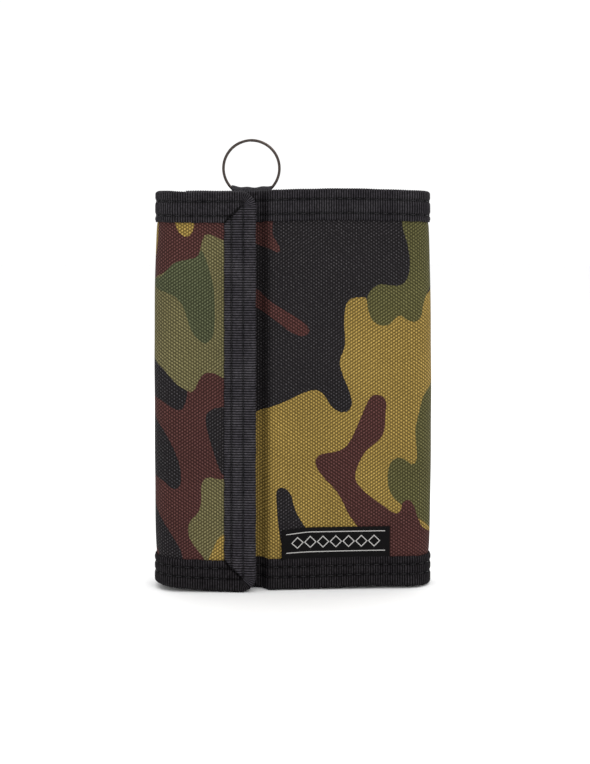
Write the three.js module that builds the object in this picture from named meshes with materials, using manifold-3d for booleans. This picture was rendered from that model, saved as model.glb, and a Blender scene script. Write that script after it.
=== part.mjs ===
// A trifold fabric wallet, closed and standing on its lower edges. Millimetres, +Z up.
// X runs along the wallet's width, the front faces -Y, and the tab that closes it wraps
// round from the back at -X. The origin is the middle of the box's lower face.
import * as THREE from "three";
import { mergeVertices } from "three/addons/utils/BufferGeometryUtils.js";
import Module from "manifold-3d";

const wasm = await Module();
wasm.setup();

// The closed wallet, over its edge tapes
const walletWidth = 89;
const walletHeight = 127;
const walletDepth = 21;
const foldRadius = 8;
const foldStep = 7.5;
const clearance = 0.3;

// Cloth, tape and the space for bank notes
const shellThickness = 0.8;
const liningThickness = 0.4;
const tapeThickness = 0.5;
const tapeWidth = 10;
const billGap = 1.2;
const hemBelowTape = 0.5;
const hemWidth = 7;

// The closing tab and its hook strip
const flapLength = 32.4;
const flapCornerRadius = 5;
const stripThickness = 1.2;
const stripEndInset = 2.5;

// The front panel, which steps back where it runs under the tab
const frontBehindFlap = 3;
const frontStep = 1.8;
const frontEndInset = 10;
const stepPastFlap = 1.8;
const frontStepRun = 2.8;
const endTapeWidth = 4;
const loopStripInset = 2.1;

// The woven label
const labelWidth = 34.5;
const labelHeight = 8.6;
const labelThickness = 0.4;
const labelFromFold = 5.15;

// The key ring and the ribbon that holds it
const ringOuterRadius = 9.5;
const ringWireWidth = 1.1;
const ringWireThickness = 0.75;
const ringCoilGap = 0.1;
const ringTurns = 1.94;
const ringStepsPerTurn = 48;
const ribbonWidth = 12.7;
const ribbonThickness = 0.5;
const ribbonChannelRadius = 2.3;
const ribbonTailLength = 9;
const ribbonBehindFlap = 1.5;
const ringAxisDrop = 0.1;
const ringCentreRise = 7.5;

// Three stepped card pockets on the inside of the back panel
const pocketFromFold = 3.7;
const pocketSheet = 0.3;
const pocketRoom = 0.8;
const pocketWall = 1.2;
const pocketHemHeight = 5;
const pocketDrop = 15;
const pocketStep = 13;
const pocketNames = ["rear", "middle", "front"];

// The zipped coin pocket on the inside of the front panel
const coinFromEndTape = 0.5;
const coinFromFold = 2.7;
const zipDrop = 7;
const zipTapeWidth = 3;
const coilSize = 0.9;
const coilThickness = 0.6;
const coilSpacing = 1.1;
const zipEndInset = 2;
const stopLength = 0.8;
const sliderLength = 8;
const sliderWidth = 6.4;
const sliderPlate = 0.5;
const sliderPost = 0.5;
const archLength = 4.4;
const archHeight = 2;
const archWidth = 1.2;
const archWall = 0.6;
const pullLength = 8;
const pullWidth = 4;
const pullThickness = 0.7;
const pullBarRadius = 0.45;
const pullArmWidth = 1;
const pullArmLength = 3.2;

// Places that follow from the sizes above. Depths are measured inwards from the shell's face.
const tapeProud = clearance + tapeThickness;
const edgeGap = tapeThickness + clearance;
const liningDepth = shellThickness + billGap;
const stackDepth = liningDepth + liningThickness;
const flapLiningDepth = shellThickness + clearance;
const flapStackDepth = flapLiningDepth + liningThickness;
const bendX = walletWidth / 2 - tapeProud - foldRadius;
const backFace = walletDepth / 2 - tapeProud;
const flapFace = -backFace;
const frontFace = flapFace + frontBehindFlap;
const hiddenFace = frontFace + frontStep;
const flapEdgeX = -walletWidth / 2 + flapLength;
const frontEndX = -walletWidth / 2 + frontEndInset;
const stepEndX = flapEdgeX + stepPastFlap;
const stepStartX = stepEndX + frontStepRun;
const shellLow = edgeGap;
const shellHigh = walletHeight - edgeGap;
const liningHigh = walletHeight - tapeWidth - hemBelowTape - edgeGap;
const hemHigh = liningHigh + clearance + pocketSheet;
const pocketLow = tapeWidth + clearance;
const coinPocketTop = hemHigh - hemWidth - clearance;
const coinPocketLeft = frontEndX + endTapeWidth + coinFromEndTape;
const coinPocketRight = bendX - coinFromFold;
const zipHeight = coinPocketTop - zipDrop;
const ribbonCentreX = flapEdgeX - ribbonBehindFlap;
const cutAngle = 45;
const cutGapAngle = THREE.MathUtils.radToDeg(clearance / 2 / foldRadius);
const beyondCut = 8;

const wallet = new THREE.Group();
wallet.name = "trifold_wallet";

const printedCloth = { color: 0x5a5136, roughness: 0.85, metalness: 0 };
const liningCloth = { color: 0x1b1b1d, roughness: 0.8, metalness: 0 };
const blackTape = { color: 0x252326, roughness: 0.75, metalness: 0 };
const blackRibbon = { color: 0x22241f, roughness: 0.7, metalness: 0 };
const labelSatin = { color: 0x121214, roughness: 0.45, metalness: 0 };
const hookNylon = { color: 0x19191b, roughness: 0.7, metalness: 0 };
const loopPile = { color: 0x1c1c1f, roughness: 0.95, metalness: 0 };
const zipCoil = { color: 0x17171a, roughness: 0.4, metalness: 0 };
const darkNickel = { color: 0x6a6764, roughness: 0.25, metalness: 1 };

function addPart(name, geometry, finish) {
  const part = new THREE.Mesh(geometry, new THREE.MeshStandardMaterial(finish));
  part.name = name;
  wallet.add(part);
}

function toSolid(geometry) {
  const bare = geometry.clone();
  for (const name of Object.keys(bare.attributes)) {
    if (name !== "position") {
      bare.deleteAttribute(name);
    }
  }
  const merged = mergeVertices(bare, 1e-4);
  return new wasm.Manifold(new wasm.Mesh({
    numProp: 3,
    vertProperties: new Float32Array(merged.attributes.position.array),
    triVerts: new Uint32Array(merged.index.array),
  }));
}

function toGeometry(solid) {
  const mesh = solid.getMesh();
  const geometry = new THREE.BufferGeometry();
  geometry.setAttribute("position", new THREE.BufferAttribute(mesh.vertProperties, 3));
  geometry.setIndex(new THREE.BufferAttribute(mesh.triVerts, 1));
  geometry.computeVertexNormals();
  return geometry;
}

// A plan outline, [x, y] points, raised between two heights
function raised(outline, low, high) {
  const shape = new THREE.Shape(outline.map(([x, y]) => new THREE.Vector2(x, y)));
  const geometry = new THREE.ExtrudeGeometry(shape, { depth: high - low, bevelEnabled: false });
  return geometry.translate(0, 0, low);
}

function block([x0, x1], [y0, y1], [z0, z1]) {
  return raised([[x0, y0], [x1, y0], [x1, y1], [x0, y1]], z0, z1);
}

// Points on the shell's outer face round a quarter of a fold, with their outward normals.
// The angle is 0 where the fold leaves a panel and 90 at the wallet's side.
function bend(side, panelFace, from, to) {
  const facing = Math.sign(panelFace);
  const centreY = panelFace - facing * foldRadius;
  const steps = Math.max(2, Math.round(Math.abs(to - from) / foldStep));
  const points = [];
  for (let i = 0; i <= steps; i += 1) {
    const angle = THREE.MathUtils.degToRad(from + ((to - from) * i) / steps);
    const nx = side * Math.sin(angle);
    const ny = facing * Math.cos(angle);
    points.push({ x: side * bendX + foldRadius * nx, y: centreY + foldRadius * ny, nx, ny });
  }
  return points;
}

// The plan line of each panel's shell. past lengthens it beyond the cuts in the folds.
const plans = {
  back: (past) => {
    const end = cutAngle - cutGapAngle + past;
    return [...bend(-1, backFace, end, 0), ...bend(1, backFace, 0, end)];
  },
  spine_left: (past) => {
    const end = cutAngle + cutGapAngle - past;
    return [...bend(-1, flapFace, end, 90), ...bend(-1, backFace, 90, end)];
  },
  spine_right: (past) => {
    const end = cutAngle + cutGapAngle - past;
    return [...bend(1, backFace, end, 90), ...bend(1, frontFace, 90, end)];
  },
  flap: (past) => {
    const end = cutAngle - cutGapAngle + past;
    const edge = { x: flapEdgeX - edgeGap, y: flapFace, nx: 0, ny: -1 };
    return [edge, ...bend(-1, flapFace, 0, end)];
  },
  front: (past) => {
    const end = cutAngle - cutGapAngle + past;
    return [
      ...bend(1, frontFace, end, 0),
      { x: stepStartX, y: frontFace, nx: 0, ny: -1 },
      { x: stepEndX, y: hiddenFace, nx: 0, ny: -1 },
      { x: frontEndX + edgeGap, y: hiddenFace, nx: 0, ny: -1 },
    ];
  },
};

// Cloth that follows a plan line, from one depth to a deeper one
function cloth(plan, shallow, deep, low, high) {
  const outer = plan.map((p) => [p.x - p.nx * shallow, p.y - p.ny * shallow]);
  const inner = plan.map((p) => [p.x - p.nx * deep, p.y - p.ny * deep]);
  return raised([...outer, ...inner.reverse()], low, high);
}

// A tape folded over the cloth from shallow to deep along its edge at the height edgeZ
function edgeTape(panel, shallow, deep, edgeZ, width, thickness) {
  const inwards = edgeZ > walletHeight / 2 ? -1 : 1;
  const over = clearance + thickness;
  const outside = [edgeZ, edgeZ + inwards * width].sort((a, b) => a - b);
  const inside = [edgeZ + inwards * thickness, edgeZ + inwards * (width + 1)].sort((a, b) => a - b);
  const whole = toSolid(cloth(plans[panel](0), shallow - over, deep + over, ...outside));
  const room = toSolid(cloth(plans[panel](beyondCut), shallow - clearance, deep + clearance, ...inside));
  return whole.subtract(room);
}

function panelSheets(panel, depth) {
  const liningTop = panel === "flap" ? shellHigh : liningHigh;
  const deep = depth + liningThickness;
  addPart(`shell_${panel}`, cloth(plans[panel](0), 0, shellThickness, shellLow, shellHigh), printedCloth);
  addPart(`lining_${panel}`, cloth(plans[panel](0), depth, deep, shellLow, liningTop), liningCloth);
}

function panelTapes(panel) {
  const top = edgeTape(panel, 0, shellThickness, walletHeight, tapeWidth, tapeThickness);
  const bottom = edgeTape(panel, 0, stackDepth, 0, tapeWidth, tapeThickness);
  const hem = edgeTape(panel, liningDepth, stackDepth, hemHigh, hemWidth, pocketSheet);
  addPart(`binding_top_${panel}`, toGeometry(top), blackTape);
  addPart(`binding_bottom_${panel}`, toGeometry(bottom), blackTape);
  addPart(`lining_hem_${panel}`, toGeometry(hem), blackTape);
}

// The tab's outline seen from the front, set in from its edges, as a solid right through it
function tabProfile(inset) {
  const radius = flapCornerRadius - inset;
  const right = flapEdgeX - inset;
  const top = walletHeight - inset;
  const shape = new THREE.Shape();
  shape.moveTo(-walletWidth, inset);
  shape.lineTo(right - radius, inset);
  shape.absarc(right - radius, inset + radius, radius, -Math.PI / 2, 0, false);
  shape.lineTo(right, top - radius);
  shape.absarc(right - radius, top - radius, radius, 0, Math.PI / 2, false);
  shape.lineTo(-walletWidth, top);
  return throughDepth(shape);
}

// A front-view shape, [x, z], carried right through the wallet's depth
function throughDepth(shape) {
  const geometry = new THREE.ExtrudeGeometry(shape, {
    depth: walletDepth * 2,
    bevelEnabled: false,
    curveSegments: 6,
  });
  return toSolid(geometry.rotateX(Math.PI / 2).translate(0, walletDepth, 0));
}

// Half of the corner mitre: what lies between the tape's run and the 45 degree fold
function mitre(points) {
  return throughDepth(new THREE.Shape(points.map(([x, z]) => new THREE.Vector2(x, z))));
}

// The tab's plan line again, starting at the very edge of its tape
function toFlapEdge(plan) {
  return [{ ...plan[0], x: flapEdgeX }, ...plan.slice(1)];
}

function flapTapes() {
  const over = tapeProud;
  const plan = toFlapEdge(plans.flap(0));
  const roomPlan = toFlapEdge(plans.flap(beyondCut));
  const whole = toSolid(cloth(plan, -over, flapStackDepth + over, 0, walletHeight)).intersect(tabProfile(0));
  const room = toSolid(cloth(roomPlan, -clearance, flapStackDepth + clearance, 0, walletHeight));
  const inside = room.intersect(tabProfile(tapeThickness));
  const frame = whole.subtract(inside);
  const gap = clearance / Math.SQRT2;
  const reach = walletHeight;
  const inner = flapEdgeX - tapeWidth;
  const high = walletHeight - tapeWidth;
  const top = mitre([
    [-reach, high], [inner - gap, high],
    [inner - gap + reach, high + reach], [-reach, high + reach],
  ]);
  const bottom = mitre([
    [-reach, tapeWidth], [-reach, tapeWidth - reach],
    [inner - gap + reach, tapeWidth - reach], [inner - gap, tapeWidth],
  ]);
  const end = mitre([
    [inner, high - gap], [inner, tapeWidth + gap],
    [inner + reach, tapeWidth + gap - reach], [inner + reach, high - gap + reach],
  ]);
  addPart("binding_top_flap", toGeometry(frame.intersect(top)), blackTape);
  addPart("binding_end_flap", toGeometry(frame.intersect(end)), blackTape);
  addPart("binding_bottom_flap", toGeometry(frame.intersect(bottom)), blackTape);
}

function flapSheets() {
  const plan = plans.flap(0);
  const outline = tabProfile(edgeGap);
  const shell = toSolid(cloth(plan, 0, shellThickness, 0, walletHeight));
  const lining = toSolid(cloth(plan, flapLiningDepth, flapStackDepth, 0, walletHeight));
  addPart("shell_flap", toGeometry(shell.intersect(outline)), printedCloth);
  addPart("lining_flap", toGeometry(lining.intersect(outline)), liningCloth);
}

function closureStrips() {
  const heights = [tapeWidth + stripEndInset, walletHeight - tapeWidth - stripEndInset];
  const hookRight = flapEdgeX - tapeWidth - clearance;
  const hookFace = flapFace + flapStackDepth + clearance;
  const loopBack = hiddenFace - clearance;
  const loopLeft = frontEndX + endTapeWidth + clearance;
  const hooks = block([-bendX, hookRight], [hookFace, hookFace + stripThickness], heights);
  const loops = block([loopLeft, flapEdgeX - loopStripInset], [loopBack - stripThickness, loopBack], heights);
  addPart("hook_strip", hooks, hookNylon);
  addPart("loop_strip", loops, loopPile);
}

// The tape down the front panel's hidden end, between the top and bottom tapes
function frontEndTape() {
  const low = tapeWidth + clearance;
  const high = walletHeight - tapeWidth - clearance;
  const faces = [hiddenFace - tapeProud, hiddenFace + stackDepth + tapeProud];
  const whole = toSolid(block([frontEndX, frontEndX + endTapeWidth], faces, [low, high]));
  const room = toSolid(block(
    [frontEndX + tapeThickness, frontEndX + endTapeWidth + 1],
    [faces[0] + tapeThickness, faces[1] - tapeThickness],
    [low - 1, high + 1],
  ));
  const hemRoom = toSolid(block(
    [frontEndX - 1, frontEndX + endTapeWidth + 1],
    [hiddenFace + shellThickness + clearance, faces[1] + 1],
    [hemHigh - hemWidth - clearance, high + 1],
  ));
  addPart("binding_end_front", toGeometry(whole.subtract(room).subtract(hemRoom)), blackTape);
}

function wovenLabel() {
  const face = frontFace - clearance;
  const right = bendX - labelFromFold;
  const faces = [face - labelThickness, face];
  const label = block([right - labelWidth, right], faces, [pocketLow, pocketLow + labelHeight]);
  addPart("woven_label", label, labelSatin);
}

const ribbonOuterRadius = ribbonChannelRadius + ribbonThickness;
const ribbonBackY = hiddenFace + shellThickness + tapeProud + clearance;
const ringAxisY = ribbonBackY + ribbonOuterRadius;
const ringAxisZ = walletHeight - ringAxisDrop;

function alongX(geometry, x, y, z) {
  return geometry.rotateZ(Math.PI / 2).translate(x, y, z);
}

function keyLoop() {
  const left = ribbonCentreX - ribbonWidth / 2;
  const roll = new THREE.CylinderGeometry(ribbonOuterRadius, ribbonOuterRadius, ribbonWidth, 28);
  const channel = new THREE.CylinderGeometry(ribbonChannelRadius, ribbonChannelRadius, ribbonWidth + 2, 28);
  const tail = block(
    [left, left + ribbonWidth],
    [ribbonBackY, ribbonBackY + 2 * ribbonThickness],
    [ringAxisZ - ribbonTailLength, ringAxisZ],
  );
  const ribbon = toSolid(alongX(roll, ribbonCentreX, ringAxisY, ringAxisZ))
    .add(toSolid(tail))
    .subtract(toSolid(alongX(channel, ribbonCentreX, ringAxisY, ringAxisZ)));
  addPart("key_loop", toGeometry(ribbon), blackRibbon);
}

// A flat wire wound almost twice round, stepping from one coil to the other at the top
function splitRing() {
  const steps = Math.round(ringTurns * ringStepsPerTurn);
  const pitch = ringWireThickness + ringCoilGap;
  const positions = [];
  for (let i = 0; i <= steps; i += 1) {
    const turn = (i / steps) * ringTurns;
    const angle = Math.PI / 2 + 2 * Math.PI * (turn - ringTurns / 2);
    const middle = pitch * (THREE.MathUtils.smoothstep(turn, ringTurns / 2 - 0.06, ringTurns / 2 + 0.06) - 0.5);
    for (const [radial, axial] of [[-1, -1], [1, -1], [1, 1], [-1, 1]]) {
      const radius = ringOuterRadius - ringWireWidth / 2 + (radial * ringWireWidth) / 2;
      positions.push(
        ribbonCentreX + radius * Math.cos(angle),
        ringAxisY + middle + (axial * ringWireThickness) / 2,
        ringAxisZ + ringCentreRise + radius * Math.sin(angle),
      );
    }
  }
  const faces = [];
  for (let i = 0; i < steps; i += 1) {
    for (let k = 0; k < 4; k += 1) {
      const a = 4 * i + k;
      const b = 4 * i + ((k + 1) % 4);
      faces.push(a, b, b + 4, a, b + 4, a + 4);
    }
  }
  const last = 4 * steps;
  faces.push(0, 2, 1, 0, 3, 2, last, last + 1, last + 2, last, last + 2, last + 3);
  const ring = new THREE.BufferGeometry();
  ring.setAttribute("position", new THREE.Float32BufferAttribute(positions, 3));
  ring.setIndex(faces);
  ring.computeVertexNormals();
  addPart("split_ring", ring, darkNickel);
}

// A pocket is a sheet with narrow walls down its sides and along its foot, open at the top
function cardPockets() {
  const sides = [pocketFromFold - bendX, bendX - pocketFromFold];
  const room = [sides[0] + pocketWall, sides[1] - pocketWall];
  let wallFace = backFace - stackDepth - clearance;
  for (const [i, name] of pocketNames.entries()) {
    const top = coinPocketTop - pocketDrop - i * pocketStep;
    const sheetFace = wallFace - pocketRoom;
    const whole = toSolid(block(sides, [sheetFace - pocketSheet, wallFace], [pocketLow, top]));
    const inside = toSolid(block(room, [sheetFace, wallFace + 1], [pocketLow + pocketWall, top + 1]));
    const hemCut = [top - pocketHemHeight, top + 1];
    const hemRoom = toSolid(block([sides[0] - 1, sides[1] + 1], [sheetFace - 1, wallFace + 1], hemCut));
    const hem = block(sides, [sheetFace - pocketSheet, sheetFace], [hemCut[0] + clearance, top]);
    addPart(`card_pocket_${name}`, toGeometry(whole.subtract(inside).subtract(hemRoom)), liningCloth);
    addPart(`card_pocket_hem_${name}`, hem, blackTape);
    wallFace = sheetFace - pocketSheet - clearance;
  }
}

const coinWallFace = hiddenFace + stackDepth + clearance;
const coinSheetFace = coinWallFace + pocketRoom;
const coinFront = coinSheetFace + pocketSheet;

// The coin pocket's plan reaches the lining, which steps with the front panel
function coinPlan(inset, reach) {
  const deepFace = frontFace + stackDepth + clearance;
  const left = coinPocketLeft + inset;
  const right = coinPocketRight - inset;
  return [
    [left, coinWallFace - reach],
    [stepEndX, coinWallFace - reach],
    [stepStartX, deepFace - reach],
    [right, deepFace - reach],
    [right, coinFront - (inset > 0 ? pocketSheet : 0)],
    [left, coinFront - (inset > 0 ? pocketSheet : 0)],
  ];
}

function coinPocket() {
  const zipHalf = zipTapeWidth + coilSize + coilSpacing / 2 + 2 * clearance;
  const inside = toSolid(raised(coinPlan(pocketWall, 1), pocketLow + pocketWall, coinPocketTop - pocketWall));
  const lower = toSolid(raised(coinPlan(0, 0), pocketLow, zipHeight - zipHalf));
  const upper = toSolid(raised(coinPlan(0, 0), zipHeight + zipHalf, coinPocketTop));
  addPart("coin_pocket_lower", toGeometry(lower.subtract(inside)), liningCloth);
  addPart("coin_pocket_upper", toGeometry(upper.subtract(inside)), liningCloth);
}

const zipLeft = coinPocketLeft + zipEndInset;
const zipRight = coinPocketRight - zipEndInset;
const zipMiddleY = coinSheetFace + pocketSheet / 2;
const sliderX = zipRight - clearance - sliderLength / 2;

function zipChain() {
  const coilFaces = [zipMiddleY - coilThickness / 2, zipMiddleY + coilThickness / 2];
  const tapeFaces = [coinSheetFace, coinFront];
  for (const [name, up] of [["upper", 1], ["lower", -1]]) {
    const near = zipHeight + (up * coilSpacing) / 2;
    const far = near + up * coilSize;
    const tapeNear = far + up * clearance;
    const coilHeights = [near, far].sort((a, b) => a - b);
    const tapeHeights = [tapeNear, tapeNear + up * zipTapeWidth].sort((a, b) => a - b);
    addPart(`zip_coil_${name}`, block([zipLeft, zipRight], coilFaces, coilHeights), zipCoil);
    addPart(`zip_tape_${name}`, block([zipLeft, zipRight], tapeFaces, tapeHeights), blackTape);
  }
  const half = coilSpacing / 2 + coilSize;
  const heights = [zipHeight - half, zipHeight + half];
  const left = [zipLeft - clearance - stopLength, zipLeft - clearance];
  const right = [zipRight + clearance, zipRight + clearance + stopLength];
  addPart("zip_stop_open", block(left, coilFaces, heights), darkNickel);
  addPart("zip_stop_closed", block(right, coilFaces, heights), darkNickel);
}

const sliderRoom = coilThickness / 2 + clearance;
const sliderFront = zipMiddleY + sliderRoom + sliderPlate;
const archRoom = archHeight - archWall;
const pullAxisY = sliderFront + archRoom / 2;

function zipSlider() {
  const along = [sliderX - sliderLength / 2, sliderX + sliderLength / 2];
  const across = [zipHeight - sliderWidth / 2, zipHeight + sliderWidth / 2];
  const rear = block(along, [zipMiddleY - sliderRoom - sliderPlate, zipMiddleY - sliderRoom], across);
  const front = block(along, [zipMiddleY + sliderRoom, sliderFront], across);
  const post = block(
    [along[1] - 2, along[1]],
    [zipMiddleY - sliderRoom - sliderPlate / 2, sliderFront - sliderPlate / 2],
    [zipHeight - sliderPost / 2, zipHeight + sliderPost / 2],
  );
  const arch = block(
    [sliderX - archLength / 2, sliderX + archLength / 2],
    [sliderFront - sliderPlate / 2, sliderFront + archHeight],
    [zipHeight - archWidth / 2, zipHeight + archWidth / 2],
  );
  const archHole = block(
    [sliderX - archLength / 2 + archWall, sliderX + archLength / 2 - archWall],
    [sliderFront, sliderFront + archRoom],
    [zipHeight - archWidth, zipHeight + archWidth],
  );
  const slider = toSolid(rear).add(toSolid(front)).add(toSolid(post)).add(toSolid(arch));
  addPart("zip_slider", toGeometry(slider.subtract(toSolid(archHole))), darkNickel);
}

function zipPull() {
  const faces = [pullAxisY - pullThickness / 2, pullAxisY + pullThickness / 2];
  const bar = new THREE.CylinderGeometry(pullBarRadius, pullBarRadius, pullWidth, 16);
  bar.rotateX(Math.PI / 2).translate(sliderX, pullAxisY, zipHeight);
  const plate = block(
    [sliderX - pullLength, sliderX],
    faces,
    [zipHeight - pullWidth / 2, zipHeight + pullWidth / 2],
  );
  const window = block(
    [sliderX - pullArmLength, sliderX + 1],
    [faces[0] - 1, faces[1] + 1],
    [zipHeight - pullWidth / 2 + pullArmWidth, zipHeight + pullWidth / 2 - pullArmWidth],
  );
  const pull = toSolid(plate).subtract(toSolid(window)).add(toSolid(bar));
  addPart("zip_pull", toGeometry(pull), darkNickel);
}

for (const panel of ["back", "spine_left", "spine_right", "front"]) {
  panelSheets(panel, liningDepth);
  panelTapes(panel);
}
flapSheets();
flapTapes();
closureStrips();
frontEndTape();
wovenLabel();
keyLoop();
splitRing();
cardPockets();
coinPocket();
zipChain();
zipSlider();
zipPull();

export default wallet;
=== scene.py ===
import math

import bmesh
import bpy
import numpy as np
from mathutils import Matrix, Vector


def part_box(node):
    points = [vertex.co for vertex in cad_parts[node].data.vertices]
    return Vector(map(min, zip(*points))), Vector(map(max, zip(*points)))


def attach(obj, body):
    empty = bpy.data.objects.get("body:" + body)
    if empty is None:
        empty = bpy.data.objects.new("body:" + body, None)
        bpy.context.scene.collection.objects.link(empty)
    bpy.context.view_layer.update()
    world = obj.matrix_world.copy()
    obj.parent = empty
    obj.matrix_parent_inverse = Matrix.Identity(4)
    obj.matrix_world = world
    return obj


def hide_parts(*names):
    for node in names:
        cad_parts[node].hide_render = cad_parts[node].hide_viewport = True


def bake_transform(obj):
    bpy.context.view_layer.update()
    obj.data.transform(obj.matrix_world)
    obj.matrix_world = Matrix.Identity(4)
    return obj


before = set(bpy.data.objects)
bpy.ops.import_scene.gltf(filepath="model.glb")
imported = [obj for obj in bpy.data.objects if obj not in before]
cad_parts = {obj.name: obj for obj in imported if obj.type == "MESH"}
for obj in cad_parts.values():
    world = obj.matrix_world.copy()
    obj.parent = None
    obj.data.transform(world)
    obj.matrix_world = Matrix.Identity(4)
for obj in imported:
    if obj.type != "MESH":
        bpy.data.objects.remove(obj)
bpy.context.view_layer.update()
print("frame loaded")

mm = 0.001


def boxOf(node):
    low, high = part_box(node)
    return np.array(low) / mm, np.array(high) / mm


# The closed wallet, in millimetres. Depths are measured inwards from the cloth's outer face.
wallet = {
    "foldRadius": 8.0,
    "clothThickness": 0.8,
    "tapeWidth": 10.0,
    "frontStepStart": -10.3,
    "frontStepEnd": -7.5,
    "frontStepDepth": 1.8,
    "cornerRadius": 5.0,
    "frontCrown": 0.7,
    "swell": 0.35,
    "foldSwell": 0.75,
    "tabLean": 1.6,
    "frontLean": 1.8,
    "tabDrop": 0.45,
    "heels": ((60, 0.8), (182, 1.8)),  # where the lower edge rises, and by how much
}
foldRadius = wallet["foldRadius"]
tapeWidth = wallet["tapeWidth"]
quarter = foldRadius * math.pi / 2
backFace = boxOf("shell_back")[1][1]
flapFace = boxOf("shell_flap")[0][1]
frontFace = boxOf("shell_front")[0][1]
hiddenFace = frontFace + wallet["frontStepDepth"]
foldLeft = boxOf("shell_spine_left")[0][0] + foldRadius
foldRight = boxOf("shell_spine_right")[1][0] - foldRadius
frontEnd = boxOf("shell_front")[0][0]
flapEnd = boxOf("shell_flap")[1][0]
flapEdge = boxOf("binding_end_flap")[1][0]
clothLow, clothTop = boxOf("shell_back")[0][2], boxOf("shell_back")[1][2]
walletTop = boxOf("binding_top_back")[1][2]
liningTop = boxOf("lining_back")[1][2]
hemTop = boxOf("lining_hem_back")[1][2]
hemWidth = hemTop - boxOf("lining_hem_back")[0][2]


def smooth(low, high, value):
    share = np.clip((value - low) / (high - low), 0, 1)
    return share * share * (3 - 2 * share)


# The full wallet pushes the tab and the near side of the front outwards
def tabLean(x):
    return wallet["tabLean"] * np.clip((x - foldLeft) / (flapEdge - foldLeft), 0, 1.2)


def frontLean(x):
    slope = np.clip((foldRight - x) / (foldRight - wallet["frontStepEnd"]), 0, 1)
    return wallet["frontLean"] * slope * smooth(wallet["frontStepStart"] - 0.5, wallet["frontStepEnd"], x)


# The cloth's path in plan, from the hidden end of the front panel over the right fold,
# the back and the left fold to the tab, as rows of length, x, y and outward normal
def clothPath():
    def arc(centreX, centreY, start):
        turn = np.radians(np.linspace(start, start + 90, 46))
        sides = [np.cos(turn), np.sin(turn)]
        return np.stack([centreX + foldRadius * sides[0], centreY + foldRadius * sides[1], *sides], axis=1)

    frontX = np.linspace(frontEnd, foldRight, 280)
    step = 1 - smooth(wallet["frontStepStart"], wallet["frontStepEnd"], frontX)
    lean = frontLean(frontX)
    frontY = frontFace + wallet["frontStepDepth"] * step - lean
    front = np.stack([frontX, frontY, 0 * frontX, 0 * frontX - 1], axis=1)
    tabX = np.linspace(foldLeft + 0.5, flapEnd + 3, 30)
    tab = np.stack([tabX, flapFace - tabLean(tabX), 0 * tabX, 0 * tabX - 1], axis=1)
    rows = [
        [[frontEnd - 3, hiddenFace, 0, -1]],
        front,
        arc(foldRight, frontFace + foldRadius, -90),
        arc(foldRight, backFace - foldRadius, 0),
        arc(foldLeft, backFace - foldRadius, 90),
        arc(foldLeft, flapFace + foldRadius, 180),
        tab,
    ]
    rows = np.concatenate(rows)
    steps = np.hypot(np.diff(rows[:, 0]), np.diff(rows[:, 1]))
    for part in (slice(0, len(frontX)), slice(len(rows) - len(tabX) - 1, None)):
        steps[part] = np.diff(rows[:, 0])[part]  # the front and the tab are measured flat
    return np.concatenate([[0], np.cumsum(steps)]) - 3, rows


pathLengths, pathRows = clothPath()
frontSpan = foldRight - frontEnd
rightStraight = (backFace - foldRadius) - (frontFace + foldRadius)
leftStraight = (backFace - foldRadius) - (flapFace + foldRadius)
backStart = frontSpan + 2 * quarter + rightStraight
backSpan = foldRight - foldLeft
flapStart = backStart + backSpan + 2 * quarter + leftStraight
clothEnd = flapStart + flapEnd - foldLeft
rightMiddle = frontSpan + quarter + rightStraight / 2
leftMiddle = flapStart - quarter - leftStraight / 2


# How far the outer cloth and tapes stand out of their plain path, as the sum of soft waves
rumple = {"ripple": 0.10, "fineRipple": 0.06, "pucker": 0.05, "puckerReach": 3.0, "foldReach": 9.0}
shownFrom = (22.0, 28.0)  # where the front comes out from under the tab


def relief(along, height):
    inside = np.clip((height - tapeWidth) / (walletTop - 2 * tapeWidth), 0, 1)
    swell = wallet["swell"] * np.sin(np.pi * inside) ** 0.7
    ripple = rumple["ripple"] * np.sin(along / 9.3 + 0.6) * np.sin(height / 14 + 1.1)
    fine = np.sin(along / 4.3 + height / 9.0) * np.sin(height / 7.3 - 0.4)
    ripple = ripple + rumple["fineRipple"] * fine
    fromSeam = np.minimum(np.abs(height - tapeWidth), np.abs(height - walletTop + tapeWidth))
    pucker = np.sin(along * 2.05 + 1.3 * np.sin(along / 5.1)) * np.exp(-fromSeam / rumple["puckerReach"])
    pucker = rumple["pucker"] * pucker
    shown = smooth(*shownFrom, along)
    folds = sum(np.exp(-(((along - fold) / rumple["foldReach"]) ** 4)) for fold in (rightMiddle, leftMiddle))
    sides = wallet["foldSwell"] * folds * np.sin(np.pi * inside) ** 0.35
    return (swell + ripple + pucker) * shown + sides


crownSpan = 54  # from the tab to the right fold, along the cloth
heelReach = (17.0, 30)  # along the cloth, and up it


# Takes points of length along the cloth, depth and height to where they lie on the wallet
def wrapCloth(points, outer=True):
    along, depth, height = points.T
    if outer:
        depth = depth - relief(along, height)
    x, y, nx, ny = (np.interp(along, pathLengths, column) for column in pathRows.T)
    size = np.hypot(nx, ny)
    x, y = x - depth * nx / size, y - depth * ny / size
    crowned = np.sin(np.pi * np.clip((along - shownFrom[0]) / crownSpan, 0, 1))
    height = height + wallet["frontCrown"] * crowned * np.clip(height / walletTop, 0, 1) ** 2
    heel = sum(rise * np.exp(-(((along - at) / heelReach[0]) ** 2)) for at, rise in wallet["heels"])
    height = height + heel * np.clip(1 - height / heelReach[1], 0, 1) ** 2
    onTab = smooth(flapStart - 12, flapStart + 2, along)
    height = height - wallet["tabDrop"] * onTab * np.clip(height / walletTop, 0, 1) ** 3
    return np.stack([x, y, height], axis=1)


def addPiece(name, mesh, material):
    piece = bpy.data.objects.new(name, mesh)
    bpy.context.scene.collection.objects.link(piece)
    mesh.materials.append(material)
    mesh.shade_smooth()
    return piece


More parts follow.
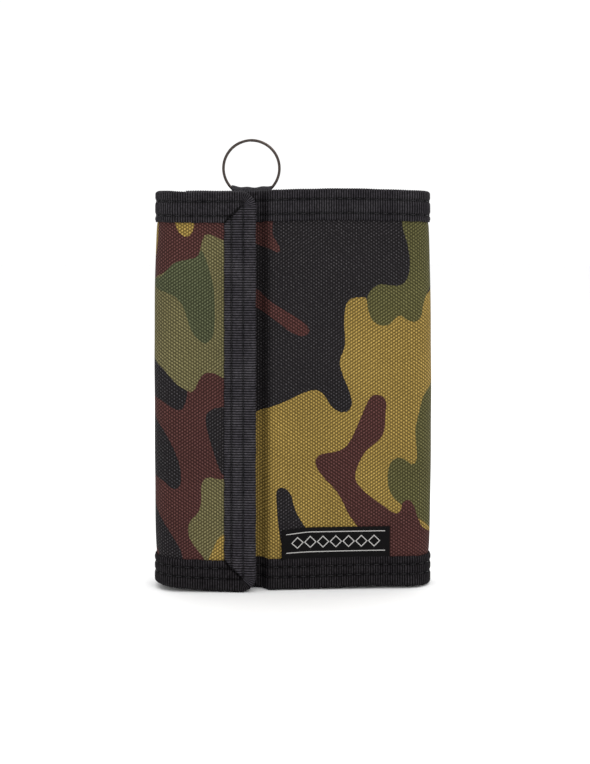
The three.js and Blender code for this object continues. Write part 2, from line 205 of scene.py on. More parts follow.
def meshFrom(work, name):
    mesh = bpy.data.meshes.new(name)
    work.to_mesh(mesh)
    work.free()
    return mesh


def placePoints(mesh, points):
    mesh.vertices.foreach_set("co", (points * mm).astype(np.float32).ravel())


def vertexPoints(mesh):
    places = np.empty(len(mesh.vertices) * 3)
    mesh.vertices.foreach_get("co", places)
    return places.reshape(-1, 3)


def setAttribute(mesh, name, values):
    kind = "FLOAT_VECTOR" if values.ndim == 2 else "FLOAT"
    attribute = mesh.attributes.get(name) or mesh.attributes.new(name, kind, "POINT")
    attribute.data.foreach_set("vector" if values.ndim == 2 else "value", values.astype(np.float32).ravel())


# A flat grid of cloth that shape(across, up), both 0 to 1, takes to points and lay in millimetres
def shapedGrid(name, columns, rows, shape, flip=False, weld=False):
    work = bmesh.new()
    bmesh.ops.create_grid(work, x_segments=columns, y_segments=rows, size=0.5)
    if flip:
        bmesh.ops.reverse_faces(work, faces=work.faces)
    mesh = meshFrom(work, name)
    flat = vertexPoints(mesh)
    points, lay = shape(flat[:, 0] + 0.5, flat[:, 1] + 0.5)
    placePoints(mesh, points)
    setAttribute(mesh, "lay", lay)
    if weld:
        work = bmesh.new()
        work.from_mesh(mesh)
        bmesh.ops.remove_doubles(work, verts=work.verts, dist=0.01 * mm)
        work.to_mesh(mesh)
        work.free()
    mesh.update()
    return mesh


def thicken(piece, thickness):
    wall = piece.modifiers.new("thickness", "SOLIDIFY")
    wall.thickness = thickness * mm
    wall.offset = -1
    wall.use_even_offset = False
    return piece


# The cloth in four lengths, each listed with the two bodies that its fold joins
lengths = {
    "Front": {
        "span": (0, rightMiddle), "bodies": ("spine_right", "front"),
        "start": (foldRight + foldRadius, frontFace + foldRadius), "end": (foldRight, frontFace),
        "nodes": ("front", "spine_right"),
    },
    "BackRight": {
        "span": (rightMiddle, backStart + backSpan / 2), "bodies": ("back", "spine_right"),
        "start": (foldRight, backFace), "end": (foldRight + foldRadius, backFace - foldRadius),
        "nodes": ("back",),
    },
    "BackLeft": {
        "span": (backStart + backSpan / 2, leftMiddle), "bodies": ("back", "spine_left"),
        "start": (foldLeft, backFace), "end": (foldLeft - foldRadius, backFace - foldRadius),
        "nodes": ("spine_left",),
    },
    "Flap": {
        "span": (leftMiddle, clothEnd), "bodies": ("spine_left", "flap"),
        "start": (foldLeft - foldRadius, flapFace + foldRadius), "end": (foldLeft, flapFace),
        "nodes": ("flap",),
    },
}


def bendWith(piece):
    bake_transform(piece)


def fromScreen(red, green, blue):
    def linear(value):
        value = value / 255
        return value / 12.92 if value <= 0.04045 else ((value + 0.055) / 1.055) ** 2.4
    return (*(linear(value) for value in (red, green, blue)), 1)


def put(tree, kind, sockets=None, **settings):
    made = tree.nodes.new(kind)
    for key, value in settings.items():
        setattr(made, key, value)
    for key, value in (sockets or {}).items():
        socket = made.inputs[key]
        if isinstance(value, bpy.types.NodeSocket):
            tree.links.new(value, socket)
        else:
            socket.default_value = value[:3] if socket.type == "VECTOR" else value
    return made


def maths(tree, operation, *values):
    return put(tree, "ShaderNodeMath", dict(enumerate(values)), operation=operation).outputs[0]


def times(tree, first, *others):
    for other in others:
        first = maths(tree, "MULTIPLY", first, other)
    return first


def vectorMaths(tree, operation, first, second):
    return put(tree, "ShaderNodeVectorMath", {0: first, 1: second}, operation=operation).outputs[0]


def scaled(tree, vector, factor):
    return put(tree, "ShaderNodeVectorMath", {0: vector, "Scale": factor}, operation="SCALE").outputs[0]


def mixColours(tree, share, first, second):
    return put(tree, "ShaderNodeMix", {0: share, 6: first, 7: second}, data_type="RGBA").outputs[2]


def ramp(tree, value, low, high, newLow=0.0, newHigh=1.0):
    sockets = {0: value, 1: low, 2: high, 3: newLow, 4: newHigh}
    return put(tree, "ShaderNodeMapRange", sockets, interpolation_type="SMOOTHSTEP").outputs[0]


def noise(tree, place, scale, detail=2.0, roughness=0.5):
    sockets = {"Vector": place, "Scale": scale, "Detail": detail, "Roughness": roughness}
    return put(tree, "ShaderNodeTexNoise", sockets).outputs[0]


def newGroup(name, inputs, outputs):
    group = bpy.data.node_groups.new(name, "ShaderNodeTree")
    for way, sockets in (("INPUT", inputs), ("OUTPUT", outputs)):
        for socketName, kind, *value in sockets:
            made = group.interface.new_socket(socketName, in_out=way, socket_type=kind)
            if value:
                made.default_value = value[0]
    return group, group.nodes.new("NodeGroupInput").outputs, group.nodes.new("NodeGroupOutput")


def placeGroup(tree, group, sockets):
    return put(tree, "ShaderNodeGroup", sockets, node_tree=group).outputs


def newMaterial(name, **values):
    material = bpy.data.materials.new(name)
    material.use_nodes = True
    tree = material.node_tree
    shader = tree.nodes["Principled BSDF"]
    for key, value in values.items():
        shader.inputs[key].default_value = value
    return material, tree, shader


def layPlace(tree):
    return put(tree, "ShaderNodeAttribute", attribute_name="lay").outputs["Vector"]


def objectPlace(tree, scale=1000.0):
    return scaled(tree, put(tree, "ShaderNodeTexCoord").outputs["Object"], scale)


def colourWith(tree, shader, colour, shade):
    tree.links.new(scaled(tree, colour, shade), shader.inputs["Base Color"])


def bumpWith(tree, shader, height, distance, strength):
    sockets = {"Height": height, "Strength": strength, "Distance": distance * mm}
    tree.links.new(put(tree, "ShaderNodeBump", sockets).outputs[0], shader.inputs["Normal"])


# Threads that rise in staggered rows of dots, with dark holes between them
def weaveGroup():
    group, given, made = newGroup(
        "staggered weave",
        [("Place", "NodeSocketVector"), ("Dot Spacing", "NodeSocketFloat", 1.6),
         ("Row Spacing", "NodeSocketFloat", 0.54), ("Wander", "NodeSocketFloat", 0.06)],
        [("Height", "NodeSocketFloat"), ("Dot", "NodeSocketFloat"), ("Glint", "NodeSocketFloat"),
         ("Thread", "NodeSocketFloat")],
    )
    sockets = {"Vector": given["Place"], "Scale": 0.7, "Detail": 2.0}
    wander = put(group, "ShaderNodeTexNoise", sockets).outputs[1]
    wander = scaled(group, vectorMaths(group, "SUBTRACT", wander, (0.5, 0.5, 0.5)), given["Wander"])
    moved = vectorMaths(group, "ADD", given["Place"], wander)
    parts = put(group, "ShaderNodeSeparateXYZ", {0: moved}).outputs
    across = times(group, maths(group, "DIVIDE", parts[0], given["Dot Spacing"]), 2 * math.pi)
    up = times(group, maths(group, "DIVIDE", parts[1], given["Row Spacing"]), math.pi)
    rising = maths(group, "COSINE", maths(group, "SUBTRACT", across, up))
    falling = maths(group, "COSINE", maths(group, "ADD", across, up))
    lean = ramp(group, noise(group, given["Place"], 0.045, 1.0), 0.35, 0.65)
    diagonals = put(group, "ShaderNodeMix", {0: lean, 2: rising, 3: falling}, data_type="FLOAT").outputs[0]
    both = times(group, maths(group, "ADD", rising, falling), 0.5)
    diagonals = put(group, "ShaderNodeMix", {0: 0.45, 2: both, 3: diagonals}, data_type="FLOAT").outputs[0]
    columns = times(group, maths(group, "COSINE", times(group, across, 2.0)), 0.45)
    wave = maths(group, "ADD", diagonals, columns)
    dot = ramp(group, wave, -0.55, 1.15)
    thread = noise(group, vectorMaths(group, "MULTIPLY", moved, (1.3, 2.0, 0.0)), 1.0, 1.0)
    glint = times(group, ramp(group, wave, 0.6, 1.4), ramp(group, thread, 0.35, 0.65))
    group.links.new(maths(group, "MULTIPLY_ADD", wave, 0.4, 0.4), made.inputs["Height"])
    group.links.new(dot, made.inputs["Dot"])
    group.links.new(glint, made.inputs["Glint"])
    group.links.new(thread, made.inputs["Thread"])
    return group


# Fine fibres that run across a tape's ribs, and pale dust on the parts that stand out
def fibreGroup():
    group, given, made = newGroup(
        "fibre and dust",
        [("Place", "NodeSocketVector"), ("Fineness", "NodeSocketFloat", 6.0),
         ("Dust", "NodeSocketFloat", 0.3)],
        [("Height", "NodeSocketFloat"), ("Dust", "NodeSocketFloat")],
    )
    stretched = vectorMaths(group, "MULTIPLY", given["Place"], (1.0, 0.35, 1.0))
    fine = noise(group, stretched, given["Fineness"], 3.0, 0.6)
    patch = noise(group, given["Place"], 0.12, 3.0, 0.6)
    dust = times(group, ramp(group, patch, 0.35, 0.75), given["Dust"], ramp(group, fine, 0.3, 0.7))
    group.links.new(fine, made.inputs["Height"])
    group.links.new(dust, made.inputs["Dust"])
    return group


weave = weaveGroup()
fibre = fibreGroup()

# The camouflage's colours, and how much the holes and high threads change them
camouflage = {
    "tan": fromScreen(144, 120, 61),
    "olive": fromScreen(104, 98, 66),
    "green": fromScreen(76, 80, 56),
    "moss": fromScreen(86, 83, 50),
    "brown": fromScreen(75, 45, 42),
    "black": fromScreen(36, 33, 35),
    "dotSpacing": 1.6,
    "rowSpacing": 0.54,
    "holeShade": 0.42,
    "dotShade": 1.38,
    "glint": 0.05,
}
printColours = ("tan", "olive", "green", "moss", "brown", "black")


def printedMaterial():
    material, tree, shader = newMaterial("printedCloth", Roughness=0.82)
    shader.inputs["Specular IOR Level"].default_value = 0.12
    place = layPlace(tree)
    woven = placeGroup(tree, weave, {
        "Place": place, "Dot Spacing": camouflage["dotSpacing"],
        "Row Spacing": camouflage["rowSpacing"], "Wander": 0.22,
    })
    ragged = maths(tree, "MULTIPLY_ADD", noise(tree, place, 1.4, 2.0), 0.7, -0.35)
    colour, best = None, None
    for name in printColours:
        field = put(tree, "ShaderNodeAttribute", attribute_name=f"print_{name}").outputs["Fac"]
        if colour is None:
            colour, best = camouflage[name], field
            continue
        wins = ramp(tree, maths(tree, "SUBTRACT", maths(tree, "ADD", field, ragged), best), -0.18, 0.18)
        colour = mixColours(tree, wins, colour, camouflage[name])
        best = maths(tree, "MAXIMUM", best, field)
    shade = ramp(tree, woven["Dot"], 0.0, 1.0, camouflage["holeShade"], camouflage["dotShade"])
    thread = ramp(tree, woven["Thread"], 0.3, 0.7, 0.82, 1.16)
    faded = ramp(tree, noise(tree, place, 0.06, 3.0), 0.3, 0.7, 0.94, 1.06)
    shaded = scaled(tree, colour, times(tree, shade, thread, faded))
    dark = put(tree, "ShaderNodeAttribute", attribute_name="print_black").outputs["Fac"]
    glint = ramp(tree, dark, -0.3, 0.3, 0.35 * camouflage["glint"], camouflage["glint"])
    shaded = vectorMaths(tree, "ADD", shaded, times(tree, woven["Glint"], glint))
    tree.links.new(shaded, shader.inputs["Base Color"])
    fuzz = maths(tree, "MULTIPLY_ADD", noise(tree, place, 5.0, 3.0), 0.25, woven["Height"])
    bumpWith(tree, shader, fuzz, 0.16, 0.7)
    tree.links.new(ramp(tree, woven["Dot"], 0, 1, 0.92, 0.72), shader.inputs["Roughness"])
    return material


paleDust = (0.2, 0.19, 0.2, 1)


# Narrow woven tape: its ribs are real, and fibres and dust are laid over them, with painted shade in the rib
# hollows, along the seam grooves and in the mitre crease
def tapeMaterial(name, colour, dusty, pitch, gloss=0.04):
    material, tree, shader = newMaterial(name, Roughness=0.65)
    shader.inputs["Specular IOR Level"].default_value = gloss
    place = layPlace(tree)
    parts = put(tree, "ShaderNodeSeparateXYZ", {0: place}).outputs
    turn = times(tree, parts[0], 2 * math.pi / pitch)
    rib = maths(tree, "MULTIPLY_ADD", maths(tree, "COSINE", turn), 0.5, 0.5)
    threads = placeGroup(tree, fibre, {"Place": place, "Fineness": 4.0, "Dust": dusty})
    shade = ramp(tree, rib, 0.0, 1.0, 0.12, 1.75)
    worn = ramp(tree, noise(tree, place, 0.9, 3.0, 0.6), 0.3, 0.7, 0.7, 1.3)
    fine = ramp(tree, threads["Height"], 0.3, 0.7, 0.8, 1.2)
    # Painted shade: darker along the seam grooves and in the mitre crease
    grooveShade = ramp(tree, parts[2], 0.0, 1.0, 1.0, 0.2)
    base = scaled(tree, colour, times(tree, shade, worn, fine, grooveShade))
    dust = times(tree, threads["Dust"], rib)
    tree.links.new(mixColours(tree, dust, base, paleDust), shader.inputs["Base Color"])
    bumpWith(tree, shader, threads["Height"], 0.05, 0.6)
    return material


ribPitch = 0.78
endRibPitch = 0.8
blackTape = tapeMaterial("blackTape", fromScreen(33, 31, 34), 0.2, ribPitch)
blackFootTape = tapeMaterial("blackFootTape", fromScreen(28, 26, 28), 0.1, ribPitch, 0.02)
blackEndTape = tapeMaterial("blackEndTape", fromScreen(40, 38, 42), 0.3, endRibPitch, 0.06)
printedCloth = printedMaterial()


def plainWeaveMaterial(name, colour, dotSpacing, rowSpacing, roughness=0.7):
    material, tree, shader = newMaterial(name, Roughness=roughness)
    shader.inputs["Specular IOR Level"].default_value = 0.2
    place = layPlace(tree)
    woven = placeGroup(tree, weave, {
        "Place": place, "Dot Spacing": dotSpacing, "Row Spacing": rowSpacing, "Wander": 0.1,
    })
    shade = ramp(tree, woven["Dot"], 0, 1, 0.55, 1.15)
    faded = ramp(tree, noise(tree, place, 0.08, 3.0), 0.3, 0.7, 0.85, 1.15)
    colourWith(tree, shader, colour, times(tree, shade, faded))
    bumpWith(tree, shader, woven["Height"], 0.08, 0.6)
    return material


liningCloth = plainWeaveMaterial("liningCloth", fromScreen(34, 34, 37), 0.5, 0.35)
clothBacking = plainWeaveMaterial("clothBacking", fromScreen(26, 25, 27), 0.8, 0.54)
hemTape = plainWeaveMaterial("hemTape", fromScreen(30, 30, 32), 0.4, 0.6, 0.65)
ribbonTape = tapeMaterial("ribbonTape", fromScreen(44, 43, 46), 0.15, 0.55)


def threadMaterial(name, colour):
    material, tree, shader = newMaterial(name, Roughness=0.5)
    shader.inputs["Specular IOR Level"].default_value = 0.25
    place = layPlace(tree)
    sockets = {"Vector": place, "Scale": 0.9, "Distortion": 0.6}
    twist = put(tree, "ShaderNodeTexWave", sockets, bands_direction="DIAGONAL")
    colourWith(tree, shader, colour, ramp(tree, twist.outputs[1], 0, 1, 0.7, 1.2))
    bumpWith(tree, shader, twist.outputs[1], 0.04, 0.5)
    return material


blackThread = threadMaterial("blackThread", fromScreen(24, 23, 26))
print("materials made")


# Lengths along the cloth of places on the tab and on the front, by how far right they show
def tabLength(x):
    x = np.asarray(x, float)
    onFold = flapStart - foldRadius * np.arcsin(np.clip((foldLeft - x) / foldRadius, 0, 0.99))
    beyond = np.minimum(x - (foldLeft - 0.99 * foldRadius), 0)
    return np.where(x >= foldLeft, flapStart + x - foldLeft, onFold + beyond)


def frontLength(x):
    x = np.asarray(x, float)
    onFold = frontSpan + foldRadius * np.arcsin(np.clip((x - foldRight) / foldRadius, 0, 0.99))
    beyond = np.maximum(x - (foldRight + 0.99 * foldRadius), 0)
    return np.where(x <= foldRight, x - frontEnd, onFold + beyond)


# The camouflage, as patches of one colour laid over each other, with points across and up
tabPatches = [
    ("brown", [(-54, 140), (-8, 140), (-8, -9), (-47, -9), (-50, 20), (-46, 45), (-52, 80), (-48, 110)]),
    ("tan", [(-38.2, 119), (-37, 114.5), (-34.5, 112.2), (-32.3, 113.2), (-31, 119)]),
    ("tan", [(-43.1, 119), (-42.9, 112), (-43.3, 107), (-47, 104), (-52, 108), (-52, 121)]),
    ("black", [(-50, 64), (-44.6, 62), (-41.3, 60.3), (-38.3, 58), (-36, 57.2), (-34.6, 58.8),
               (-33.4, 63.6), (-36, 70), (-42, 77), (-50, 80)]),
    ("olive", [(-29.8, 108), (-29.2, 111), (-28.2, 113.5), (-26, 113.2), (-22, 111), (-9, 109), (-8, 67),
               (-22, 67.2), (-25, 69.3), (-28.4, 69.4), (-30.2, 67), (-31.2, 64.2), (-32.4, 63.1),
               (-34.2, 63.9), (-36.7, 65.3), (-38.5, 67.2), (-40.5, 69.8), (-42.6, 72), (-46, 75.5),
               (-53, 78), (-54, 90), (-50, 99), (-44, 98.8), (-40.5, 101), (-38, 104.5), (-34, 105.2),
               (-30.6, 106)]),
    ("green", [(-44.5, 98.6), (-42, 99.3), (-40.3, 101.3), (-38.3, 104.2), (-34, 105.2), (-30.6, 105.9),
               (-29.5, 108.8), (-28.2, 106.5), (-26.5, 101), (-25.3, 96), (-25, 88), (-25.3, 82),
               (-26.5, 79.5), (-28.2, 78.2), (-31, 80.4), (-32.8, 83.2), (-34.2, 88), (-35.5, 91.2),
               (-37.3, 93.3), (-39.7, 94.6), (-43, 95.7)]),
    ("black", [(-19, 59), (-25, 58.2), (-27.4, 57), (-28.2, 54.7), (-27.2, 50), (-25.8, 45.3),
               (-24.2, 40.2), (-22.6, 36.7), (-14, 34), (-10, 45)]),
    ("black", [(-44.4, 56.5), (-41.3, 51.8), (-38.2, 45.8), (-36, 40), (-35.6, 34.5), (-36.8, 32.3),
               (-39, 32.7), (-41.3, 35.2), (-46, 37), (-53, 42), (-52, 52), (-47, 57)]),
    ("black", [(-45, 30), (-43, 25.7), (-40, 20), (-37, 15), (-35.4, 12), (-34.8, 6), (-36, -4),
               (-52, -4), (-50, 12), (-53, 24)]),
    ("brown", [(-43, 12.5), (-42.6, 9.6), (-44.6, 7.8), (-48, 9), (-47, 12.8)]),
    ("olive", [(-20, 36), (-23.8, 35.6), (-26.2, 36.3), (-28.4, 36.1), (-29.5, 33.6), (-29.3, 28.5),
               (-30.2, 24.9), (-32.8, 22.8), (-33.7, 20.2), (-33.2, 16.8), (-31, 13.5), (-28, 10),
               (-26, 2), (-15, 8), (-16, 25)]),
    ("tan", [(-21.5, 18.9), (-23.8, 17.4), (-25, 15), (-26, 12.6), (-27.6, 9), (-26, 1), (-14, 3),
             (-15, 15)]),
]
frontPatches = [
    ("brown", [(-14, 121), (-6.4, 121), (-7, 112.6), (-5.6, 110.6), (-4, 107.6), (-4.8, 106.6),
               (-8.5, 108.6), (-14, 110.5)]),
    ("brown", [(-16, 97), (-11.3, 95.3), (-8, 91.7), (-3.2, 88.5), (1.7, 85.5), (4.8, 82.8), (5, 80.9),
               (2.9, 79.8), (-0.8, 81.1), (-4.8, 84.4), (-10, 88.5), (-18, 92)]),
    ("moss", [(34, 130), (34.4, 115.4), (36.2, 110), (37.1, 104.5), (36.8, 99.8), (35, 96), (32, 95.8),
              (27.8, 96.6), (25.4, 95.6), (23.2, 92.6), (23.4, 89), (24.6, 85), (27.4, 83), (31, 83.4),
              (33, 86.6), (35, 85.7), (38, 84), (40.2, 85.2), (41, 90), (42.2, 94.4), (45, 97),
              (52, 100), (54, 118), (50, 130)]),
    ("moss", [(23.2, 92.6), (25.6, 95.8), (28.4, 96.4), (33, 95.8), (36, 97), (40, 94.5), (41, 90),
              (40.2, 85.2), (38, 84), (35, 85.7), (33, 86.6), (31, 83.4), (27.4, 83), (24.6, 85),
              (23.4, 89)]),
    ("tan", [(23, 92.4), (21.7, 92.2), (18.1, 92), (16.3, 89.8), (15.9, 84), (16.4, 77), (15.4, 74.2),
             (14.3, 71.6), (15.5, 67.4), (17.7, 62.2), (18.7, 58.2), (17.6, 55.8), (14.9, 55.3),
             (12, 57), (9.7, 61.2), (7.2, 63.1), (3.2, 62.2), (-3.2, 59.2), (-8, 57.6), (-12, 56),
             (-22, 52), (-26, 30), (-20, -6), (20, -9), (47, -6), (49, 30), (46, 60), (50, 84), (47, 97),
             (43.6, 95.4), (41.8, 93), (41, 90), (40.6, 86), (38.8, 84), (35.8, 85), (34.2, 86.6),
             (32.6, 85.8), (30.2, 83), (27, 83.1), (24.6, 85), (23.5, 88.8)]),
    ("black", [(-5.8, 31.2), (-4.6, 32.2), (-2.6, 31.7), (-0.8, 29.6), (-0.1, 26), (1.2, 22.8),
               (3.7, 18.8), (7, 14), (4, 6), (-3, 8), (-4.8, 18), (-5.4, 24)]),
    ("black", [(-11.5, 45), (-13, 38), (-18, 32), (-27, 34), (-25, 47), (-17, 50)]),
    ("moss", [(49, 69), (44.2, 65), (41.1, 61), (39.9, 55.6), (38.6, 49.8), (39, 44), (39.3, 40),
              (38.2, 37.5), (36, 39.4), (33.6, 40.7), (31, 39.6), (29.9, 36), (30, 31), (31.6, 27.6),
              (34.2, 25.2), (38, 22), (44, 15), (56, 18), (57, 55)]),
    ("brown", [(23.5, 58.9), (25, 61), (27.8, 60.8), (29.7, 58.8), (29.2, 54.5), (29, 50), (28, 46.9),
               (25, 44.6), (22.5, 42.6), (20.4, 38.6), (19.3, 35.2), (20, 32.4), (23.7, 28.6),
               (28.5, 25), (32.4, 22.1), (34.1, 22.7), (34.6, 26), (36.6, 27), (38.3, 25), (39.4, 20.4),
               (41, 16.8), (44.3, 14.6), (47, 11), (46, -4), (28, -5), (24, 12), (20.1, 18.8),
               (17.3, 22.6), (15.3, 27.4), (13, 31), (9.7, 34.3), (7.2, 37.8), (6.6, 40.6), (8.4, 42.4),
               (13.3, 42.8), (16.6, 44.2), (18.9, 48), (21, 53)]),
]
# The same over the back and the two folds' far sides, by length along the cloth
backPatches = [
    ("tan", [(84, 70), (92, 76), (101, 73), (106, 79), (115, 78), (118, 70), (112, 63), (105, 64),
             (99, 55), (101, 46), (94, 40), (87, 45), (82, 56)]),
    ("brown", [(100, 134), (97, 118), (104, 111), (113, 114), (118, 106), (127, 103), (131, 110),
               (126, 118), (129, 134)]),
    ("olive", [(88, 104), (94, 110), (101, 106), (108, 98), (118, 97), (123, 90), (117, 85), (107, 88),
               (99, 92), (90, 94)]),
    ("brown", [(116, 60), (122, 66), (131, 63), (135, 53), (142, 47), (141, 39), (133, 37), (128, 43),
               (119, 45), (115, 52)]),
    ("tan", [(140, 110), (149, 116), (158, 111), (162, 100), (157, 91), (161, 82), (154, 77), (145, 82),
             (141, 92), (136, 100)]),
    ("olive", [(98, 30), (107, 35), (117, 31), (127, 28), (131, 19), (124, 12), (113, 14), (105, 8),
               (96, 13), (93, 22)]),
    ("green", [(128, 84), (135, 88), (141, 80), (148, 72), (157, 68), (158, 58), (149, 55), (141, 60),
               (132, 70), (126, 76)]),
    ("brown", [(158, 134), (160, 120), (168, 116), (172, 122), (171, 134)]),
    ("brown", [(146, 46), (155, 47), (161, 39), (170, 36), (172, 26), (163, 22), (155, 28), (146, 30),
               (142, 38)]),
    ("tan", [(134, 22), (141, 26), (149, 20), (157, 14), (159, 3), (150, -6), (138, -4), (132, 8)]),
    ("olive", [(166, 98), (173, 104), (181, 97), (180, 84), (172, 76), (166, 84)]),
    ("brown", [(78, 30), (84, 34), (90, 26), (88, 12), (80, 8), (74, 18)]),
]


printReach = 5.0  # how far from an outline its distance is kept
softening = 0.22


def rounded(outline):
    outline = np.asarray(outline, float)
    for _ in range(2):
        after = np.roll(outline, -1, axis=0)
        step = softening * (after - outline)
        outline = np.stack([outline + step, after - step], axis=1).reshape(-1, 2)
    return outline


# How far each place is inside an outline, or outside it where the number is below 0
def insideBy(places, outline, reach):
    far = np.full(len(places), -reach)
    low, high = outline.min(axis=0) - reach, outline.max(axis=0) + reach
    near = np.all((places > low) & (places < high), axis=1)
    spot = places[near]
    if not len(spot):
        return far
    nearest = np.full(len(spot), 1e9)
    inside = np.zeros(len(spot), bool)
    for start, end in zip(outline, np.roll(outline, -1, axis=0)):
        edge = end - start
        share = np.clip((spot - start) @ edge / (edge @ edge), 0, 1)
        nearest = np.minimum(nearest, np.hypot(*(spot - start - share[:, None] * edge).T))
        crosses = (start[1] > spot[:, 1]) != (end[1] > spot[:, 1])
        if start[1] != end[1]:
            at = start[0] + (spot[:, 1] - start[1]) / (end[1] - start[1]) * edge[0]
            inside ^= crosses & (spot[:, 0] < at)
    far[near] = np.clip(np.where(inside, nearest, -nearest), -reach, reach)
    return far


def paintCamouflage(mesh, lay):
    fields = {name: np.full(len(lay), -printReach) for name in printColours}
    fields["black"][:] = printReach
    places = lay[:, :2].astype(float)
    outlines = [(colour, np.asarray(points, float)) for colour, points in backPatches]
    for colour, points in frontPatches:
        points = np.asarray(points, float)
        lift = (0.6 + 0.028 * (np.clip(points[:, 0], -10, 44) + 10)) * (1 - points[:, 1] / walletTop)
        outlines.append((colour, np.stack([frontLength(points[:, 0]), points[:, 1] + lift], axis=1)))
    for colour, points in tabPatches:
        points = np.asarray(points, float)
        outlines.append((colour, np.stack([tabLength(points[:, 0]), points[:, 1]], axis=1)))
    for colour, outline in outlines:
        share = insideBy(places, rounded(outline), printReach)
        for name in printColours:
            if name == colour:
                fields[name] = np.maximum(fields[name], share)
            else:
                fields[name] = np.minimum(fields[name], -share)
    for name, values in fields.items():
        setAttribute(mesh, f"print_{name}", values)


cornerInset = 0.8  # how much smaller the cloth's corners are than the tape's
cornerReach = 12


# Lengths along the cloth, cut back round the tab's corners
def cutCorners(along, height, end, low, high):
    radius = wallet["cornerRadius"] - cornerInset
    fromEdge = np.maximum(np.maximum(low + radius - height, height - high + radius), 0)
    cut = radius - np.sqrt(np.maximum(radius**2 - fromEdge**2, 0))
    return along - cut * np.clip((along - end + cornerReach) / cornerReach, 0, 1)


clothGrain = 1.1
pieces = {}
for length, row in lengths.items():
    start, end = row["span"]

    def clothShape(across, up, start=start, end=end, isFlap=length == "Flap"):
        along = start + (end - start) * across
        height = clothLow + (clothTop - clothLow) * up
        if isFlap:
            along = cutCorners(along, height, end, clothLow, clothTop)
        lay = np.stack([along, height, 0 * along], axis=1)
        return wrapCloth(np.stack([along, 0 * along, height], axis=1), True), lay

    mesh = shapedGrid(f"cloth{length}", round((end - start) / clothGrain), 114, clothShape)
    lay = np.empty(len(mesh.vertices) * 3, np.float32)
    mesh.attributes["lay"].data.foreach_get("vector", lay)
    paintCamouflage(mesh, lay.reshape(-1, 3))
    piece = addPiece(f"cloth{length}", mesh, printedCloth)
    thicken(piece, wallet["clothThickness"])
    mesh.materials.append(clothBacking)
    piece.modifiers["thickness"].material_offset = 1
    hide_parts(*(f"shell_{node}" for node in row["nodes"]))
    pieces[f"cloth{length}"] = piece
print("cloth cut, printed and wrapped")

# The linings lie behind the cloth; the tab's is as tall as the tab
lining = {"thickness": 0.35, "depth": 2.02, "tabDepth": 1.12, "ripple": 0.1}
for length, row in lengths.items():
    start, end = row["span"]

    def liningShape(across, up, start=start, end=end, isFlap=length == "Flap"):
        high = clothTop if isFlap else liningTop
        along = start + (end - start) * across
        height = clothLow + (high - clothLow) * up
        depth = lining["depth"] + 0 * along
        if isFlap:
            depth = depth - (lining["depth"] - lining["tabDepth"]) * smooth(flapStart - 6, flapStart, along)
            along = cutCorners(along, height, end, clothLow, high)
        beforeTab = smooth(flapStart, flapStart - 9, along)
        depth = depth - lining["ripple"] * np.sin(along / 8) * np.sin(height / 11) * beforeTab
        points = wrapCloth(np.stack([along, depth, height], axis=1), False)
        return points, np.stack([along, height, depth], axis=1)

    mesh = shapedGrid(f"lining{length}", round((end - start) / 2), 60, liningShape)
    piece = thicken(addPiece(f"lining{length}", mesh, liningCloth), lining["thickness"])
    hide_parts(*(f"lining_{node}" for node in row["nodes"]))
    pieces[f"lining{length}"] = piece

# Edge tape, folded over the cloth's edge and sewn through both its legs
tape = {
    "thickness": 0.38,
    "stand": 0.78,
    "seamDip": 0.35,
    "seamReach": 0.55,
    "foldHeight": 0.9,
    # width of the painted shadow along the mitre crease
    "mitreShadowWidth": 1.1,
    "ribHeight": 0.085,
    "ribSteps": 4,
    "topSeams": (3.3, 7.8),
    "bottomSeams": (4.2, 7.4),
    "endSeams": (4.0, 7.7),
    # reach of the painted shade along each seam groove, where the ribs also flatten
    "grooveShadeReach": 0.42,
    "waver": 0.06,
    "edgeWaver": 0.10,
    "mitreLift": 0.3,
}


# Rows of the tape's profile: distance from the edge, depth, and the outward normal of each
def tapeProfile(width, deep, seams, legRows=22, shallow=0.0, stand=None):
    stand = tape["stand"] if stand is None else stand
    dips = (*seams, width)

    def legDepth(w):
        dip = sum(np.exp(-(((w - seam) / tape["seamReach"]) ** 2)) for seam in dips)
        return stand - tape["seamDip"] * np.clip(dip, 0, 1)

    leg = np.linspace(width, tape["foldHeight"], legRows)
    turn = np.linspace(0, math.pi, 12)[1:-1]
    middle, half = (shallow + deep) / 2, (deep - shallow) / 2 + stand
    w = np.concatenate([leg, tape["foldHeight"] * (1 - np.sin(turn)), leg[::-1]])
    outerLeg, innerLeg = shallow - legDepth(leg), deep + legDepth(leg[::-1])
    depth = np.concatenate([outerLeg, middle - half * np.cos(turn), innerLeg])
    dw, dd = np.gradient(w), np.gradient(depth)
    size = np.hypot(dw, dd)
    return w, depth, -dd / size, dw / size


def topRun(t, w):
    return t, walletTop - w


def plainRun(t, w):
    return t, w


# The tab's tapes turn its rounded corners and meet in a mitre
tabEdge = clothEnd + flapEdge - flapEnd
tabRadius = wallet["cornerRadius"]
eighth = tabRadius * math.pi / 4


def tabTopRun(t, w):
    corner = tabEdge - tabRadius
    straight = np.minimum(w, tabMitre(t))
    angle = np.clip((t - corner) / tabRadius, 0, math.pi / 4)
    arcRadius = tabRadius - np.minimum(w, tabRadius - 0.001)
    onArc = t > corner
    along = np.where(onArc, corner + arcRadius * np.sin(angle), t)
    height = np.where(onArc, walletTop - tabRadius + arcRadius * np.cos(angle), walletTop - straight)
    return along, height


def tabMitre(t):
    return np.maximum(tabEdge - t, tabRadius)


def endMitre(t):
    return np.maximum(np.minimum(t, walletTop - t), tabRadius)


# The end tape laps over the other two, which rise a little under it
def tabLift(t, w):
    return tape["mitreLift"] * smooth(tabEdge - 12, tabEdge - 9, t) * smooth(2.5, 5, w)


def tabBottomRun(t, w):
    along, height = tabTopRun(t, w)
    return along, walletTop - height


